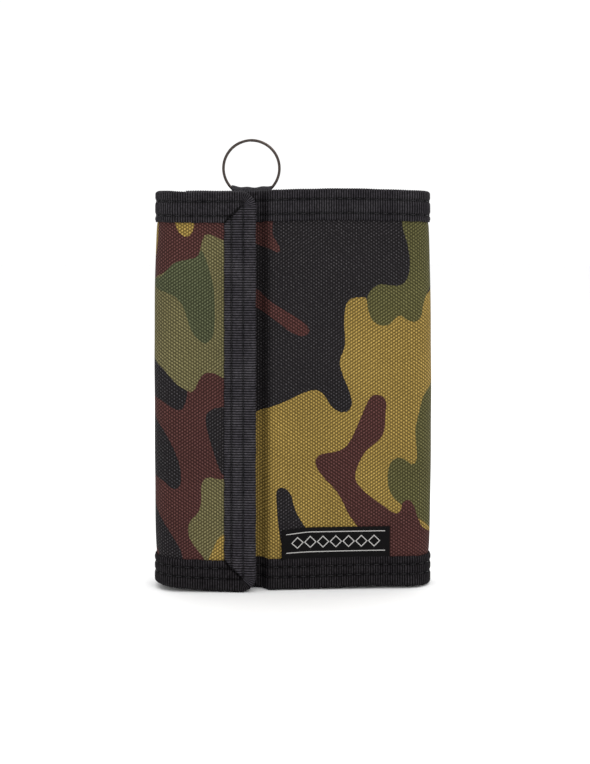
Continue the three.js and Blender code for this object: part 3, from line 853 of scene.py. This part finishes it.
def tabEndRun(t, w):
    low, high = tabRadius, walletTop - tabRadius
    straight = np.minimum(w, endMitre(t))
    arcRadius = tabRadius - np.minimum(w, tabRadius - 0.001)
    angle = np.where(t > high, t - high, np.where(t < low, t - low, 0)) / tabRadius
    onArc = (t > high) | (t < low)
    along = np.where(onArc, tabEdge - tabRadius + arcRadius * np.cos(angle), tabEdge - straight)
    height = np.where(onArc, np.where(t > high, high, low) + arcRadius * np.sin(angle), t)
    return along, height


def addTape(name, run, fromT, toT, width, deep, seams, pitch, material, flip=True,
            mitre=None, lift=None, legRows=22):
    w, depth, normalW, normalDepth = tapeProfile(width, deep, seams, legRows)
    columns = round((toT - fromT) / pitch * tape["ribSteps"])
    rows = len(w) - 1

    def shape(across, up):
        t = fromT + (toT - fromT) * across
        index = np.rint(up * rows).astype(int)
        row = w[index]
        # Nearness to a seam groove: the ribs flatten there, and the tape's colour darkens there as painted
        # shade
        grooveShade = sum(np.exp(-(((row - seam) / tape["grooveShadeReach"]) ** 2)) for seam in seams)
        ribs = np.cos(2 * np.pi * t / pitch) * tape["ribHeight"] * (1 - 0.5 * np.clip(grooveShade, 0, 1))
        offset = ribs + tape["waver"] * np.sin(t / 2.3) * np.sin(t / 5.9 + 1) * smooth(3, 0, row)
        edgeWaver = np.sin(t * 1.1 + 2) * np.sin(t / 3.1) * smooth(width - 1.5, width, row)
        edgeWaver = tape["edgeWaver"] * edgeWaver
        along, height = run(t, row + normalW[index] * offset + edgeWaver)
        depthNow = depth[index] + normalDepth[index] * offset
        if lift is not None:
            depthNow = depthNow - lift(t, row) * (depthNow < 0)
        # Along the mitre, a painted shadow of the crease joins the painted groove shade
        if mitre is not None:
            grooveShade = grooveShade + smooth(tape["mitreShadowWidth"], 0.2, mitre(t) - row) * (row > tabRadius)
        lay = np.stack([t, row, np.clip(grooveShade, 0, 1)], axis=1)
        return wrapCloth(np.stack([along, depthNow, height], axis=1)), lay

    mesh = shapedGrid(name, columns, rows, shape, flip=flip, weld=True)
    piece = thicken(addPiece(name, mesh, material), tape["thickness"])
    pieces[name] = piece
    return piece


stackDepth = lining["depth"] + lining["thickness"]
tabStackDepth = lining["tabDepth"] + lining["thickness"]
for length, row in lengths.items():
    start, end = row["span"]
    for place, run, tabRun, deep, seams, material, flip in (
        ("Top", topRun, tabTopRun, wallet["clothThickness"], tape["topSeams"], blackTape, False),
        ("Bottom", plainRun, tabBottomRun, stackDepth, tape["bottomSeams"], blackFootTape, True),
    ):
        name = f"tape{place}{length}"
        if length == "Flap":
            last = tabEdge - tabRadius + eighth
            piece = addTape(name, tabRun, start, last, tapeWidth, tabStackDepth, seams, ribPitch,
                            material, flip, tabMitre, tabLift)
        else:
            first = start - (tape["stand"] if length == "Front" else 0)
            piece = addTape(name, run, first, end, tapeWidth, deep, seams, ribPitch, material, flip)
        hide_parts(*(f"binding_{place.lower()}_{node}" for node in row["nodes"]))

tabTape = addTape("tapeEndFlap", tabEndRun, tabRadius - eighth, walletTop - tabRadius + eighth, tapeWidth,
                  tabStackDepth, tape["endSeams"], endRibPitch, blackEndTape, mitre=endMitre)
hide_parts("binding_end_flap")
print("edges taped")

# Seams: short stitches of thread in rows along the tapes
stitch = {"length": 2.2, "pitch": 2.9, "radius": 0.15, "proud": 0.08}


stitchSize = Matrix.Diagonal((stitch["length"] / 2, stitch["radius"], stitch["radius"], 1))


def addStitches(name, rows, wrap=wrapCloth, material=blackThread):
    whole = bmesh.new()
    for run, w, fromT, toT, depth in rows:
        work = bmesh.new()
        count = max(1, round((toT - fromT) / stitch["pitch"]))
        for i in range(count):
            t = fromT + (i + 0.5) * (toT - fromT) / count
            place = Matrix.Translation((t, depth, w)) @ stitchSize
            bmesh.ops.create_uvsphere(work, u_segments=6, v_segments=5, radius=1, matrix=place)
        row = meshFrom(work, "row")
        places = vertexPoints(row)
        along, height = run(places[:, 0], places[:, 2])
        points = wrap(np.stack([along, places[:, 1], height], axis=1))
        placePoints(row, points)
        setAttribute(row, "lay", places[:, [0, 2, 1]])
        whole.from_mesh(row)
        bpy.data.meshes.remove(row)
    bmesh.ops.recalc_face_normals(whole, faces=whole.faces)
    piece = addPiece(name, meshFrom(whole, name), material)
    pieces[name] = piece
    return piece


seamOut = tape["stand"] - tape["seamDip"] + stitch["proud"]
for length, row in lengths.items():
    start, end = row["span"]
    isFlap = length == "Flap"
    sewn = []
    tabRuns = [(tabTopRun, tabStackDepth), (tabBottomRun, tabStackDepth)]
    runs = tabRuns if isFlap else [(topRun, wallet["clothThickness"]), (plainRun, stackDepth)]
    for (run, deep), seams in zip(runs, (tape["topSeams"], tape["bottomSeams"])):
        for seam in seams:
            last = end - seam if isFlap else end
            for depth in (-seamOut, deep + seamOut):
                sewn.append((run, seam, start + 0.3, last - 0.3, depth))
    if isFlap:
        for seam in tape["endSeams"]:
            for depth in (-seamOut, tabStackDepth + seamOut):
                sewn.append((tabEndRun, seam, seam + 1, walletTop - seam - 1, depth))
    addStitches(f"stitches{length}", sewn)
print("seams sewn")

# The hidden end of the front panel has a narrower tape of its own
endTape = {"width": 4.0, "seams": (2.6,), "past": 0.8}
endLow, endHigh = boxOf("binding_end_front")


def frontEndRun(t, w):
    return w - endTape["past"] + 0 * t, t


frontTape = addTape("tapeEndFront", frontEndRun, endLow[2], endHigh[2], endTape["width"], stackDepth,
                    endTape["seams"], endRibPitch, blackEndTape, legRows=8)
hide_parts("binding_end_front")
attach(frontTape, "front")

# The lining's hem lies open below the tape, and the bank notes go in behind it
hem = {"thickness": 0.28, "seams": (1.6, 5.4), "stand": 0.34}
for length, row in lengths.items():
    if length == "Flap":
        span = (row["span"][0], flapStart - quarter * 0.5)
    else:
        span = row["span"]
    w, depth, _, _ = tapeProfile(hemWidth, stackDepth, hem["seams"], 10, lining["depth"], hem["stand"])
    rows = len(w) - 1

    def hemShape(across, up, span=span, w=w, depth=depth, rows=rows):
        t = span[0] + (span[1] - span[0]) * across
        index = np.rint(up * rows).astype(int)
        points = np.stack([t, depth[index], hemTop - w[index]], axis=1)
        return wrapCloth(points, False), np.stack([t, w[index], 0 * t], axis=1)

    mesh = shapedGrid(f"hem{length}", round((span[1] - span[0]) / 1.5), rows, hemShape)
    piece = thicken(addPiece(f"hem{length}", mesh, hemTape), hem["thickness"])
    pieces[f"hem{length}"] = piece
    nodes = [f"lining_hem_{node}" for node in row["nodes"] if f"lining_hem_{node}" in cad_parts]
    if nodes:
        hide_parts(*nodes)

for name, piece in pieces.items():
    for length in lengths:
        if name.endswith(length) and name != "tapeEndFront":
            bendWith(piece)

# The woven label, its foot under the bottom tape
labelLow, labelHigh = boxOf("woven_label")
label = {
    "thickness": 0.35,
    "foot": 2.4,
    "marks": 7,
    "markRadius": 2.0,
    "markWall": 0.3,
    "markHeight": 7.4,
    "lineHeights": (4.2, 10.6),
    "lineWidth": 0.28,
    "droop": 0.9,
    "rise": 0.9,
    "layHeight": 12,
}
labelWidth = labelHigh[0] - labelLow[0]


def labelPoints(u, v, depth):
    x = labelLow[0] + labelWidth * u
    height = labelLow[2] - label["foot"] + (labelHigh[2] - labelLow[2] + label["foot"]) * v
    curl = 0.25 * smooth(0.08, 0.0, u) + 0.2 * smooth(0.93, 1.0, u) * smooth(0.6, 1, v)
    sag = 0.12 * np.sin(7 * u + 1) * v
    height = height + (label["rise"] - label["droop"] * smooth(0.28, 0, u)) * v
    return wrapCloth(np.stack([frontLength(x), -depth - curl - sag * 0.4 - 0.08, height], axis=1), True)


def labelShape(u, v):
    frayed = np.where(u < 0.001, 0.25 * np.sin(v * 37) * np.sin(v * 91), 0) / labelWidth
    points = labelPoints(u + frayed, v, label["thickness"])
    return points, np.stack([u * labelWidth, v * label["layHeight"], 0 * u], axis=1)


def satinMaterial():
    material, tree, shader = newMaterial("labelSatin", Roughness=0.42)
    shader.inputs["Specular IOR Level"].default_value = 0.06
    place = layPlace(tree)
    sockets = {"Vector": place, "Scale": 1.1, "Distortion": 0.8, "Detail": 2.0}
    threads = put(tree, "ShaderNodeTexWave", sockets, bands_direction="Y")
    grain = ramp(tree, noise(tree, place, 3.0, 3.0), 0.3, 0.7, 0.8, 1.2)
    shade = times(tree, ramp(tree, threads.outputs[1], 0, 1, 0.7, 1.2), grain)
    colourWith(tree, shader, fromScreen(9, 8, 9), shade)
    bumpWith(tree, shader, threads.outputs[1], 0.03, 0.5)
    return material


labelSatin = satinMaterial()
mesh = shapedGrid("wovenLabel", 70, 26, labelShape)
labelPiece = thicken(addPiece("wovenLabel", mesh, labelSatin), label["thickness"])
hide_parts("woven_label")
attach(labelPiece, "front")

# A plain woven mark: a row of outlined diamonds between two lines
paleThread = threadMaterial("paleThread", fromScreen(176, 174, 172))


def labelMark():
    work = bmesh.new()
    for i in range(label["marks"]):
        middle = (i + 0.5) / label["marks"] * (labelWidth - 6) + 3
        place = Matrix.Translation((middle, label["markHeight"], 0))
        made = bmesh.ops.create_circle(work, cap_ends=True, segments=4, radius=label["markRadius"],
                                       matrix=place)
        face = made["verts"][0].link_faces[0]
        bmesh.ops.inset_individual(work, faces=[face], thickness=label["markWall"], use_even_offset=True)
        bmesh.ops.delete(work, geom=[face], context="FACES_ONLY")
    for up in label["lineHeights"]:
        line = bmesh.ops.create_grid(work, x_segments=60, y_segments=1, size=0.5)
        bmesh.ops.scale(work, vec=(labelWidth - 3, label["lineWidth"], 1), verts=line["verts"])
        bmesh.ops.translate(work, vec=(labelWidth / 2, up, 0), verts=line["verts"])
    bmesh.ops.subdivide_edges(work, edges=[e for e in work.edges if e.calc_length() > 1.0], cuts=3)
    mesh = meshFrom(work, "labelMark")
    flat = vertexPoints(mesh)
    u, v = flat[:, 0] / labelWidth, flat[:, 1] / label["layHeight"]
    points = labelPoints(u, v, label["thickness"] + 0.1)
    placePoints(mesh, points)
    setAttribute(mesh, "lay", flat * 3)
    return thicken(addPiece("labelMark", mesh, paleThread), 0.1)


markPiece = labelMark()
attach(markPiece, "front")
print("label sewn on")

# The split ring: a flat wire wound almost twice round
ringLow, ringHigh = boxOf("split_ring")
ringCentre = (ringLow + ringHigh) / 2
ring = {"wireWidth": 0.88, "wireThickness": 0.72, "pitch": 0.85, "turnDegrees": 349, "crossDegrees": 24,
        "squareness": 0.6}
ringRadius = (ringHigh[0] - ringLow[0]) / 2


def metalMaterial(name, colour, roughness):
    material, tree, shader = newMaterial(name, Metallic=1.0, Roughness=roughness)
    place = objectPlace(tree)
    scuffs = noise(tree, place, 1.6, 4.0, 0.65)
    fine = noise(tree, place, 9.0, 2.0)
    worn = (*(channel * 0.7 for channel in colour[:3]), 1)
    worn = mixColours(tree, ramp(tree, scuffs, 0.35, 0.7), colour, worn)
    tree.links.new(worn, shader.inputs["Base Color"])
    dulled = ramp(tree, scuffs, 0.3, 0.75, roughness * 0.8, roughness * 1.6)
    tree.links.new(dulled, shader.inputs["Roughness"])
    bumpWith(tree, shader, fine, 0.01, 0.25)
    return material


darkNickel = metalMaterial("darkNickel", fromScreen(78, 70, 66), 0.17)


def splitRing():
    work = bmesh.new()
    radius = ringRadius - ring["wireWidth"] / 2
    place = Matrix.Translation((radius, -ring["pitch"] / 2, 0)) @ Matrix.Rotation(math.pi / 2, 4, "X")
    section = bmesh.ops.create_circle(work, cap_ends=True, segments=12, radius=0.5, matrix=place)
    for vert in section["verts"]:
        x = vert.co.x - radius
        angle = math.atan2(vert.co.z, x)
        flatten = 1 / max(abs(math.cos(angle)), abs(math.sin(angle))) ** ring["squareness"]
        vert.co.x = radius + x * ring["wireWidth"] * flatten
        vert.co.y = -ring["pitch"] / 2 + vert.co.z * ring["wireThickness"] * flatten
        vert.co.z = 0
    start = math.radians(90 - ring["turnDegrees"] + ring["crossDegrees"] / 2)
    bmesh.ops.rotate(work, cent=(0, 0, 0), matrix=Matrix.Rotation(-start, 3, "Y"), verts=work.verts)
    coil = math.radians(ring["turnDegrees"] - ring["crossDegrees"] / 2)
    cross = (math.radians(ring["crossDegrees"]), 8, ring["pitch"] / 8)
    first = section["verts"]
    geometry = [*first, *{e for v in first for e in v.link_edges},
                *{f for v in first for f in v.link_faces}]
    for angle, steps, shift in ((coil, 90, 0), cross, (coil, 90, 0)):
        made = bmesh.ops.spin(work, geom=geometry, cent=(0, 0, 0), axis=(0, -1, 0), dvec=(0, shift, 0),
                              angle=angle, steps=steps)
        geometry = made["geom_last"]
    bmesh.ops.remove_doubles(work, verts=work.verts, dist=0.0005)
    inner = [f for f in work.faces if len(f.verts) > 4]
    bmesh.ops.delete(work, geom=inner, context="FACES_ONLY")
    bmesh.ops.holes_fill(work, edges=work.edges, sides=20)
    bmesh.ops.recalc_face_normals(work, faces=work.faces)
    bmesh.ops.translate(work, vec=ringCentre, verts=work.verts)
    bmesh.ops.scale(work, vec=(mm, mm, mm), verts=work.verts)
    mesh = meshFrom(work, "splitRing")
    return addPiece("splitRing", mesh, darkNickel)


ringPiece = splitRing()
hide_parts("split_ring")
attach(ringPiece, "ring")

# The ribbon that holds the ring: a roll that sags between its ends, and two tails sewn down
loopLow, loopHigh = boxOf("key_loop")
loopRadius = (loopHigh[1] - loopLow[1]) / 2
loopAxis = ((loopLow[1] + loopHigh[1]) / 2, loopHigh[2] - loopRadius)
ribbon = {
    "thickness": 0.45,
    "sag": 0.55,
    "ruffle": 0.14,
    "flatten": 0.85,
    "ribPitch": 0.55,
    "ribHeight": 0.06,
    "wrapShare": 0.84,
}


def ribbonShape(u, v):
    x = loopLow[0] + (loopHigh[0] - loopLow[0]) * u
    radius = loopRadius - 0.05
    tail = loopAxis[1] - loopLow[2]
    around = 2 * math.pi * radius * ribbon["wrapShare"]
    length = v * (2 * tail + around)
    angle = math.pi * 1.08 - np.clip((length - tail) / around, 0, 1) * 2 * math.pi * 0.96
    y = loopAxis[0] + radius * np.cos(angle)
    z = loopAxis[1] + radius * np.sin(angle)
    rise = np.minimum(length / tail, 1)
    frontTail = length < tail
    backTail = length > tail + around
    tailBack = (length - tail - around) / tail
    y = np.where(frontTail, loopLow[1] + 0.05, y)
    z = np.where(frontTail, loopLow[2] + tail * rise, z)
    y = np.where(backTail, loopLow[1] + 0.55 + 0.3 * smooth(0.3, 0.0, tailBack), y)
    z = np.where(backTail, loopAxis[1] - 1.4 - (loopAxis[1] - 1.4 - loopLow[2]) * tailBack, z)
    wave = ribbon["ruffle"] * np.sin(u * 17 + 1) - ribbon["sag"] * (1 - (2 * u - 1) ** 2)
    upper = smooth(loopAxis[1] - 1.5, loopAxis[1] + 1.0, z)
    z = z + wave * upper - ribbon["flatten"] * smooth(loopAxis[1], loopHigh[2], z)
    ribs = ribbon["ribHeight"] * np.cos(2 * np.pi * length / ribbon["ribPitch"])
    ribs = ribs * ~(frontTail | backTail)
    y = y + ribs * np.cos(angle)
    z = z + ribs * np.sin(angle)
    return np.stack([x, y, z], axis=1), np.stack([length, x, 0 * x], axis=1)


mesh = shapedGrid("keyRibbon", 26, 150, ribbonShape)
ribbonPiece = thicken(addPiece("keyRibbon", mesh, ribbonTape), ribbon["thickness"])
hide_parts("key_loop")
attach(ribbonPiece, "front")
print("ring hung")


# Everything inside lies flat on a panel, so its places are x, y and z as they stand
def flatPlace(points):
    return points


def uprightRun(t, w):
    return w, t


pocket = {"thickness": 0.28, "sewnReach": 1.2, "hemSeams": (1.1, 3.9), "sideSeam": 0.7, "turnedIn": 1.5}


# A pocket's sheet: flat, with its sides and foot sewn down to what lies behind
def pocketSheet(name, node, facing, top=None, bulge=0.15, openSides=("top",)):
    wall = pocket["sewnReach"]
    low, high = boxOf(node)
    if top is not None:
        high[2] = top

    def shape(u, v):
        x = low[0] + (high[0] - low[0]) * (u if facing < 0 else 1 - u)
        z = low[2] + (high[2] - low[2]) * v
        down = np.maximum(smooth(wall, 0, x - low[0]), smooth(wall, 0, high[0] - x))
        if "top" not in openSides:
            down = np.maximum(down, smooth(wall, 0, high[2] - z))
        if "foot" not in openSides:
            down = np.maximum(down, smooth(wall, 0, z - low[2]))
        face = low[1] if facing < 0 else high[1]
        back = high[1] if facing < 0 else low[1]
        soft = bulge * np.sin(x / 9.0 + z / 31) * np.sin(z / 13.0) * (1 - down)
        y = face + (back - face) * 0.8 * down - facing * abs(soft) * 0.6
        return np.stack([x, y, z], axis=1), np.stack([x, z, 0 * x], axis=1)

    mesh = shapedGrid(name, round((high[0] - low[0]) / 0.9), max(3, round((high[2] - low[2]) / 1.2)), shape)
    piece = thicken(addPiece(name, mesh, liningCloth), pocket["thickness"])
    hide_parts(node)
    return piece


def flatBand(name, node, facing, material, thickness, roll, stand, body):
    low, high = boxOf(node)

    def shape(u, v):
        x = low[0] + (high[0] - low[0]) * (u if facing < 0 else 1 - u)
        z = low[2] + (high[2] - low[2]) * v
        face = low[1] if facing < 0 else high[1]
        edge = np.maximum(smooth(0.7, 0, z - low[2]), smooth(0.7, 0, high[2] - z))
        y = face + facing * (stand - roll * edge)
        return np.stack([x, y, z], axis=1), np.stack([x, z, 0 * x], axis=1)

    mesh = shapedGrid(name, round(high[0] - low[0]), max(8, round((high[2] - low[2]) / 0.4)), shape)
    piece = thicken(addPiece(name, mesh, material), thickness)
    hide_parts(node)
    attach(piece, body)
    return piece


pocketPieces = {}
for which in ("rear", "middle", "front"):
    low, high = boxOf(f"card_pocket_{which}")
    hemLow, hemHigh = boxOf(f"card_pocket_hem_{which}")
    sheet = pocketSheet(f"cardPocket_{which}", f"card_pocket_{which}", -1, hemHigh[2] - 0.4)
    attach(sheet, "back")
    band = flatBand(f"cardPocketHem_{which}", f"card_pocket_hem_{which}", -1, hemTape,
                    0.4, 0.12, 0.12, "back")
    face = low[1] - 0.16
    rows = [(plainRun, hemHigh[2] - seam, low[0] + 0.5, high[0] - 0.5, face) for seam in pocket["hemSeams"]]
    rows += [(uprightRun, x, low[2] + 0.5, hemLow[2] - 0.5, low[1] + 0.38)
             for x in (low[0] + pocket["sideSeam"], high[0] - pocket["sideSeam"])]
    seams = addStitches(f"cardPocketSeams_{which}", rows, flatPlace)
    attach(seams, "back")
    pocketPieces[which] = (sheet, band, seams)
print("card pockets sewn in")

coinLower = pocketSheet("coinPocketLower", "coin_pocket_lower", 1, bulge=0.25)
coinUpper = pocketSheet("coinPocketUpper", "coin_pocket_upper", 1, bulge=0.05, openSides=("foot",))
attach(coinLower, "front")
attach(coinUpper, "front")
zipTape = plainWeaveMaterial("zipTape", fromScreen(26, 26, 28), 0.45, 0.9, 0.7)
zipTapes = [flatBand(f"zipTape_{side}", f"zip_tape_{side}", 1, zipTape, 0.28, 0.1, 0.05, "front")
            for side in ("upper", "lower")]


def nylonMaterial(name, colour, roughness):
    material, tree, shader = newMaterial(name, Roughness=roughness)
    place = objectPlace(tree)
    grain = noise(tree, place, 5.0, 3.0)
    patch = ramp(tree, noise(tree, place, 0.3, 2.0), 0.3, 0.7, 0.85, 1.15)
    colourWith(tree, shader, colour, times(tree, ramp(tree, grain, 0.3, 0.7, 0.8, 1.2), patch))
    rougher = ramp(tree, grain, 0.2, 0.8, roughness * 0.85, roughness * 1.15)
    tree.links.new(rougher, shader.inputs["Roughness"])
    bumpWith(tree, shader, grain, 0.02, 0.4)
    return material


coilNylon = nylonMaterial("coilNylon", fromScreen(30, 30, 33), 0.35)
zipper = {"pitch": 1.15, "toothReach": 1.5, "toothRadius": 0.24, "coreRadius": 0.3}
for side, up in (("upper", 1), ("lower", -1)):
    low, high = boxOf(f"zip_coil_{side}")
    work = bmesh.new()
    count = int((high[0] - low[0]) / zipper["pitch"])
    middleY = (low[1] + high[1]) / 2
    near, far = (low[2], high[2]) if up > 0 else (high[2], low[2])
    for i in range(count):
        x = low[0] + (i + (0.5 if up > 0 else 0.98)) * zipper["pitch"]
        z = near + up * (zipper["toothReach"] / 2 - 0.75)
        tooth = Matrix.Translation((min(x, high[0] - 0.3), middleY, z)) @ Matrix.Rotation(0.25, 4, "Y")
        tooth = tooth @ Matrix.Diagonal((zipper["toothRadius"], 0.34, zipper["toothReach"] / 2, 1))
        bmesh.ops.create_uvsphere(work, u_segments=8, v_segments=6, radius=1, matrix=tooth)
    core = Matrix.Translation(((low[0] + high[0]) / 2, middleY, far - up * 0.25))
    core = core @ Matrix.Rotation(math.pi / 2, 4, "Y")
    radius = zipper["coreRadius"]
    bmesh.ops.create_cone(work, cap_ends=True, segments=10, radius1=radius, radius2=radius,
                          depth=high[0] - low[0], matrix=core)
    bmesh.ops.scale(work, vec=(mm, mm, mm), verts=work.verts)
    mesh = meshFrom(work, f"zipCoil_{side}")
    coil = addPiece(f"zipCoil_{side}", mesh, coilNylon)
    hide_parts(f"zip_coil_{side}")
    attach(coil, "front")

# Metal parts of the zip, from their own shapes with the edges rounded
for node, body in (("zip_stop_open", "front"), ("zip_stop_closed", "front"), ("zip_slider", "slider"),
                   ("zip_pull", "pull")):
    work = bmesh.new()
    work.from_mesh(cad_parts[node].data)
    bmesh.ops.remove_doubles(work, verts=work.verts, dist=0.005 * mm)
    bmesh.ops.dissolve_limit(work, angle_limit=math.radians(2), verts=work.verts, edges=work.edges)
    sharp = [e for e in work.edges if len(e.link_faces) == 2 and e.calc_face_angle(0) > math.radians(35)]
    bmesh.ops.bevel(work, geom=sharp, offset=0.12 * mm, offset_type="OFFSET", affect="EDGES", segments=2,
                    profile=0.5, material=-1, clamp_overlap=True)
    mesh = meshFrom(work, node)
    words = node.split("_")
    piece = addPiece(words[0] + "".join(word.title() for word in words[1:]), mesh, darkNickel)
    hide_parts(node)
    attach(piece, body)

low, high = boxOf("coin_pocket_lower")
upperLow, upperHigh = boxOf("coin_pocket_upper")
coinRows = [(uprightRun, x, low[2] + 0.8, high[2] - 0.8, high[1] - 0.2)
            for x in (low[0] + 0.8, high[0] - 0.8)]
coinRows += [(plainRun, high[2] - 0.9, low[0] + 2, high[0] - 2, high[1] + 0.12),
             (plainRun, upperLow[2] + 0.9, upperLow[0] + 2, upperHigh[0] - 2, upperHigh[1] + 0.12),
             (plainRun, low[2] + 0.8, low[0] + 2, high[0] - 2, high[1] - 0.2)]
coinSeams = addStitches("coinPocketSeams", coinRows, flatPlace)
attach(coinSeams, "front")
print("coin pocket and zip made")

# The closure: nylon hooks on the tab, and a brushed loop pile on the front's hidden part
closure = {"base": 0.45, "hookPitch": 1.45, "hookRadius": 0.15, "headRadius": 0.26, "pile": 0.55}
hookNylon = nylonMaterial("hookNylon", fromScreen(36, 36, 38), 0.45)
hookLow, hookHigh = boxOf("hook_strip")


def hookStrip():
    work = bmesh.new()
    base = closure["base"]
    middle = (hookLow + hookHigh) / 2
    size = hookHigh - hookLow
    place = Matrix.Translation((middle[0], hookLow[1] + base / 2, middle[2]))
    place = place @ Matrix.Diagonal((size[0], base, size[2], 1))
    made = bmesh.ops.create_cube(work, size=1, matrix=place)
    edges = {e for v in made["verts"] for e in v.link_edges}
    bmesh.ops.bevel(work, geom=list(edges), offset=0.15, offset_type="OFFSET", affect="EDGES", segments=2,
                    profile=0.5, material=-1)
    reach = size[1] - base - closure["headRadius"]
    columns, rows = int(size[0] / closure["hookPitch"]), int(size[2] / closure["hookPitch"])
    for i in range(columns):
        for j in range(rows):
            x = hookLow[0] + (i + 0.3 + 0.4 * (j % 2)) * size[0] / columns
            z = hookLow[2] + (j + 0.5) * size[2] / rows
            stem = Matrix.Translation((x, hookLow[1] + base + reach / 2, z))
            stem = stem @ Matrix.Rotation(-math.pi / 2, 4, "X")
            radius = closure["hookRadius"]
            bmesh.ops.create_cone(work, segments=5, radius1=radius * 1.3, radius2=radius,
                                  depth=reach, matrix=stem)
            head = Matrix.Translation((x, hookHigh[1] - closure["headRadius"], z))
            head = head @ Matrix.Diagonal((1.3, 0.9, 1.0, 1))
            bmesh.ops.create_icosphere(work, subdivisions=1, radius=closure["headRadius"], matrix=head)
    for vert in work.verts:
        vert.co.y -= float(tabLean(vert.co.x))
    bmesh.ops.scale(work, vec=(mm, mm, mm), verts=work.verts)
    mesh = meshFrom(work, "hookStrip")
    return addPiece("hookStrip", mesh, hookNylon)


hooks = hookStrip()
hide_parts("hook_strip")
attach(hooks, "flap")


def pileMaterial():
    material, tree, shader = newMaterial("loopPile", Roughness=0.95)
    shader.inputs["Sheen Weight"].default_value = 0.5
    shader.inputs["Sheen Roughness"].default_value = 0.6
    place = objectPlace(tree)
    fluff = noise(tree, place, 3.0, 5.0, 0.7)
    colourWith(tree, shader, fromScreen(32, 32, 34), ramp(tree, fluff, 0.3, 0.7, 0.5, 1.4))
    bumpWith(tree, shader, fluff, 0.3, 0.9)
    return material


pileLow, pileHigh = boxOf("loop_strip")
draws = np.random.default_rng(7)


def pileShape(u, v):
    x = pileLow[0] + (pileHigh[0] - pileLow[0]) * u
    z = pileLow[2] + (pileHigh[2] - pileLow[2]) * v
    edge = np.minimum.reduce([x - pileLow[0], pileHigh[0] - x, z - pileLow[2], pileHigh[2] - z])
    rise = smooth(0, 0.9, edge)
    tuft = draws.random(len(x))
    y = pileHigh[1] - 0.1 - rise * (closure["base"] + closure["pile"] * tuft)
    return np.stack([x, y, z], axis=1), np.stack([x, z, 0 * x], axis=1)


mesh = shapedGrid("loopStrip", 50, 320, pileShape)
pile = thicken(addPiece("loopStrip", mesh, pileMaterial()), 0.08)
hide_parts("loop_strip")
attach(pile, "front")
print("closure strips made")

# Each length's top, and the card and coin pockets' bounds, looked up but not used
for length, row in lengths.items():
    high = clothTop if length == "Flap" else liningTop
for which, (sheet, band, seams) in pocketPieces.items():
    low, high = boxOf(f"card_pocket_{which}")
    hemHigh = boxOf(f"card_pocket_hem_{which}")[1]
low, high = boxOf("coin_pocket_lower")


# A pale floor, with soft light from all round and above
def layFloor():
    work = bmesh.new()
    bmesh.ops.create_grid(work, x_segments=4, y_segments=4, size=6.0)
    mesh = meshFrom(work, "floor")
    material, tree, shader = newMaterial("floorPaper", Roughness=0.9)
    grain = noise(tree, objectPlace(tree, 40.0), 3.0, 3.0)
    pale = mixColours(tree, grain, (0.93, 0.93, 0.93, 1), (0.96, 0.96, 0.96, 1))
    tree.links.new(pale, shader.inputs["Base Color"])
    floor = bpy.data.objects.new("floor", mesh)
    bpy.context.scene.collection.objects.link(floor)
    mesh.materials.append(material)


layFloor()

bpy.context.scene.view_settings.view_transform = "Standard"
world = bpy.data.worlds.new("studio")
bpy.context.scene.world = world
world.use_nodes = True
world.node_tree.nodes["Background"].inputs["Color"].default_value = (1, 1, 1, 1)
world.node_tree.nodes["Background"].inputs["Strength"].default_value = 1.06

lights = {
    "key": {"place": (0.35, -0.75, 0.7), "size": 0.45, "energy": 2.2},
    "above": {"place": (0.0, 0.1, 1.1), "size": 1.2, "energy": 5},
}
aim = Vector((0, 0, 0.065))
for name, row in lights.items():
    lamp = bpy.data.lights.new(name, "AREA")
    lamp.energy, lamp.size = row["energy"], row["size"]
    holder = bpy.data.objects.new(name, lamp)
    bpy.context.scene.collection.objects.link(holder)
    holder.location = row["place"]
    holder.rotation_euler = (aim - Vector(row["place"])).to_track_quat("-Z", "Y").to_euler()

# Eye level, a little left of the middle
cameraValues = {"place": (-0.0095, -0.4405, 0.111), "yaw": -1.3, "lens": 64.1, "shiftY": -0.185}
camera = bpy.data.cameras.new("camera")
camera.lens = cameraValues["lens"]
camera.shift_y = cameraValues["shiftY"]
camera.clip_start, camera.clip_end = 0.01, 20
viewer = bpy.data.objects.new("camera", camera)
bpy.context.scene.collection.objects.link(viewer)
viewer.location = cameraValues["place"]
viewer.rotation_euler = (math.radians(90), 0, math.radians(cameraValues["yaw"]))
bpy.context.scene.camera = viewer

print("scene done")
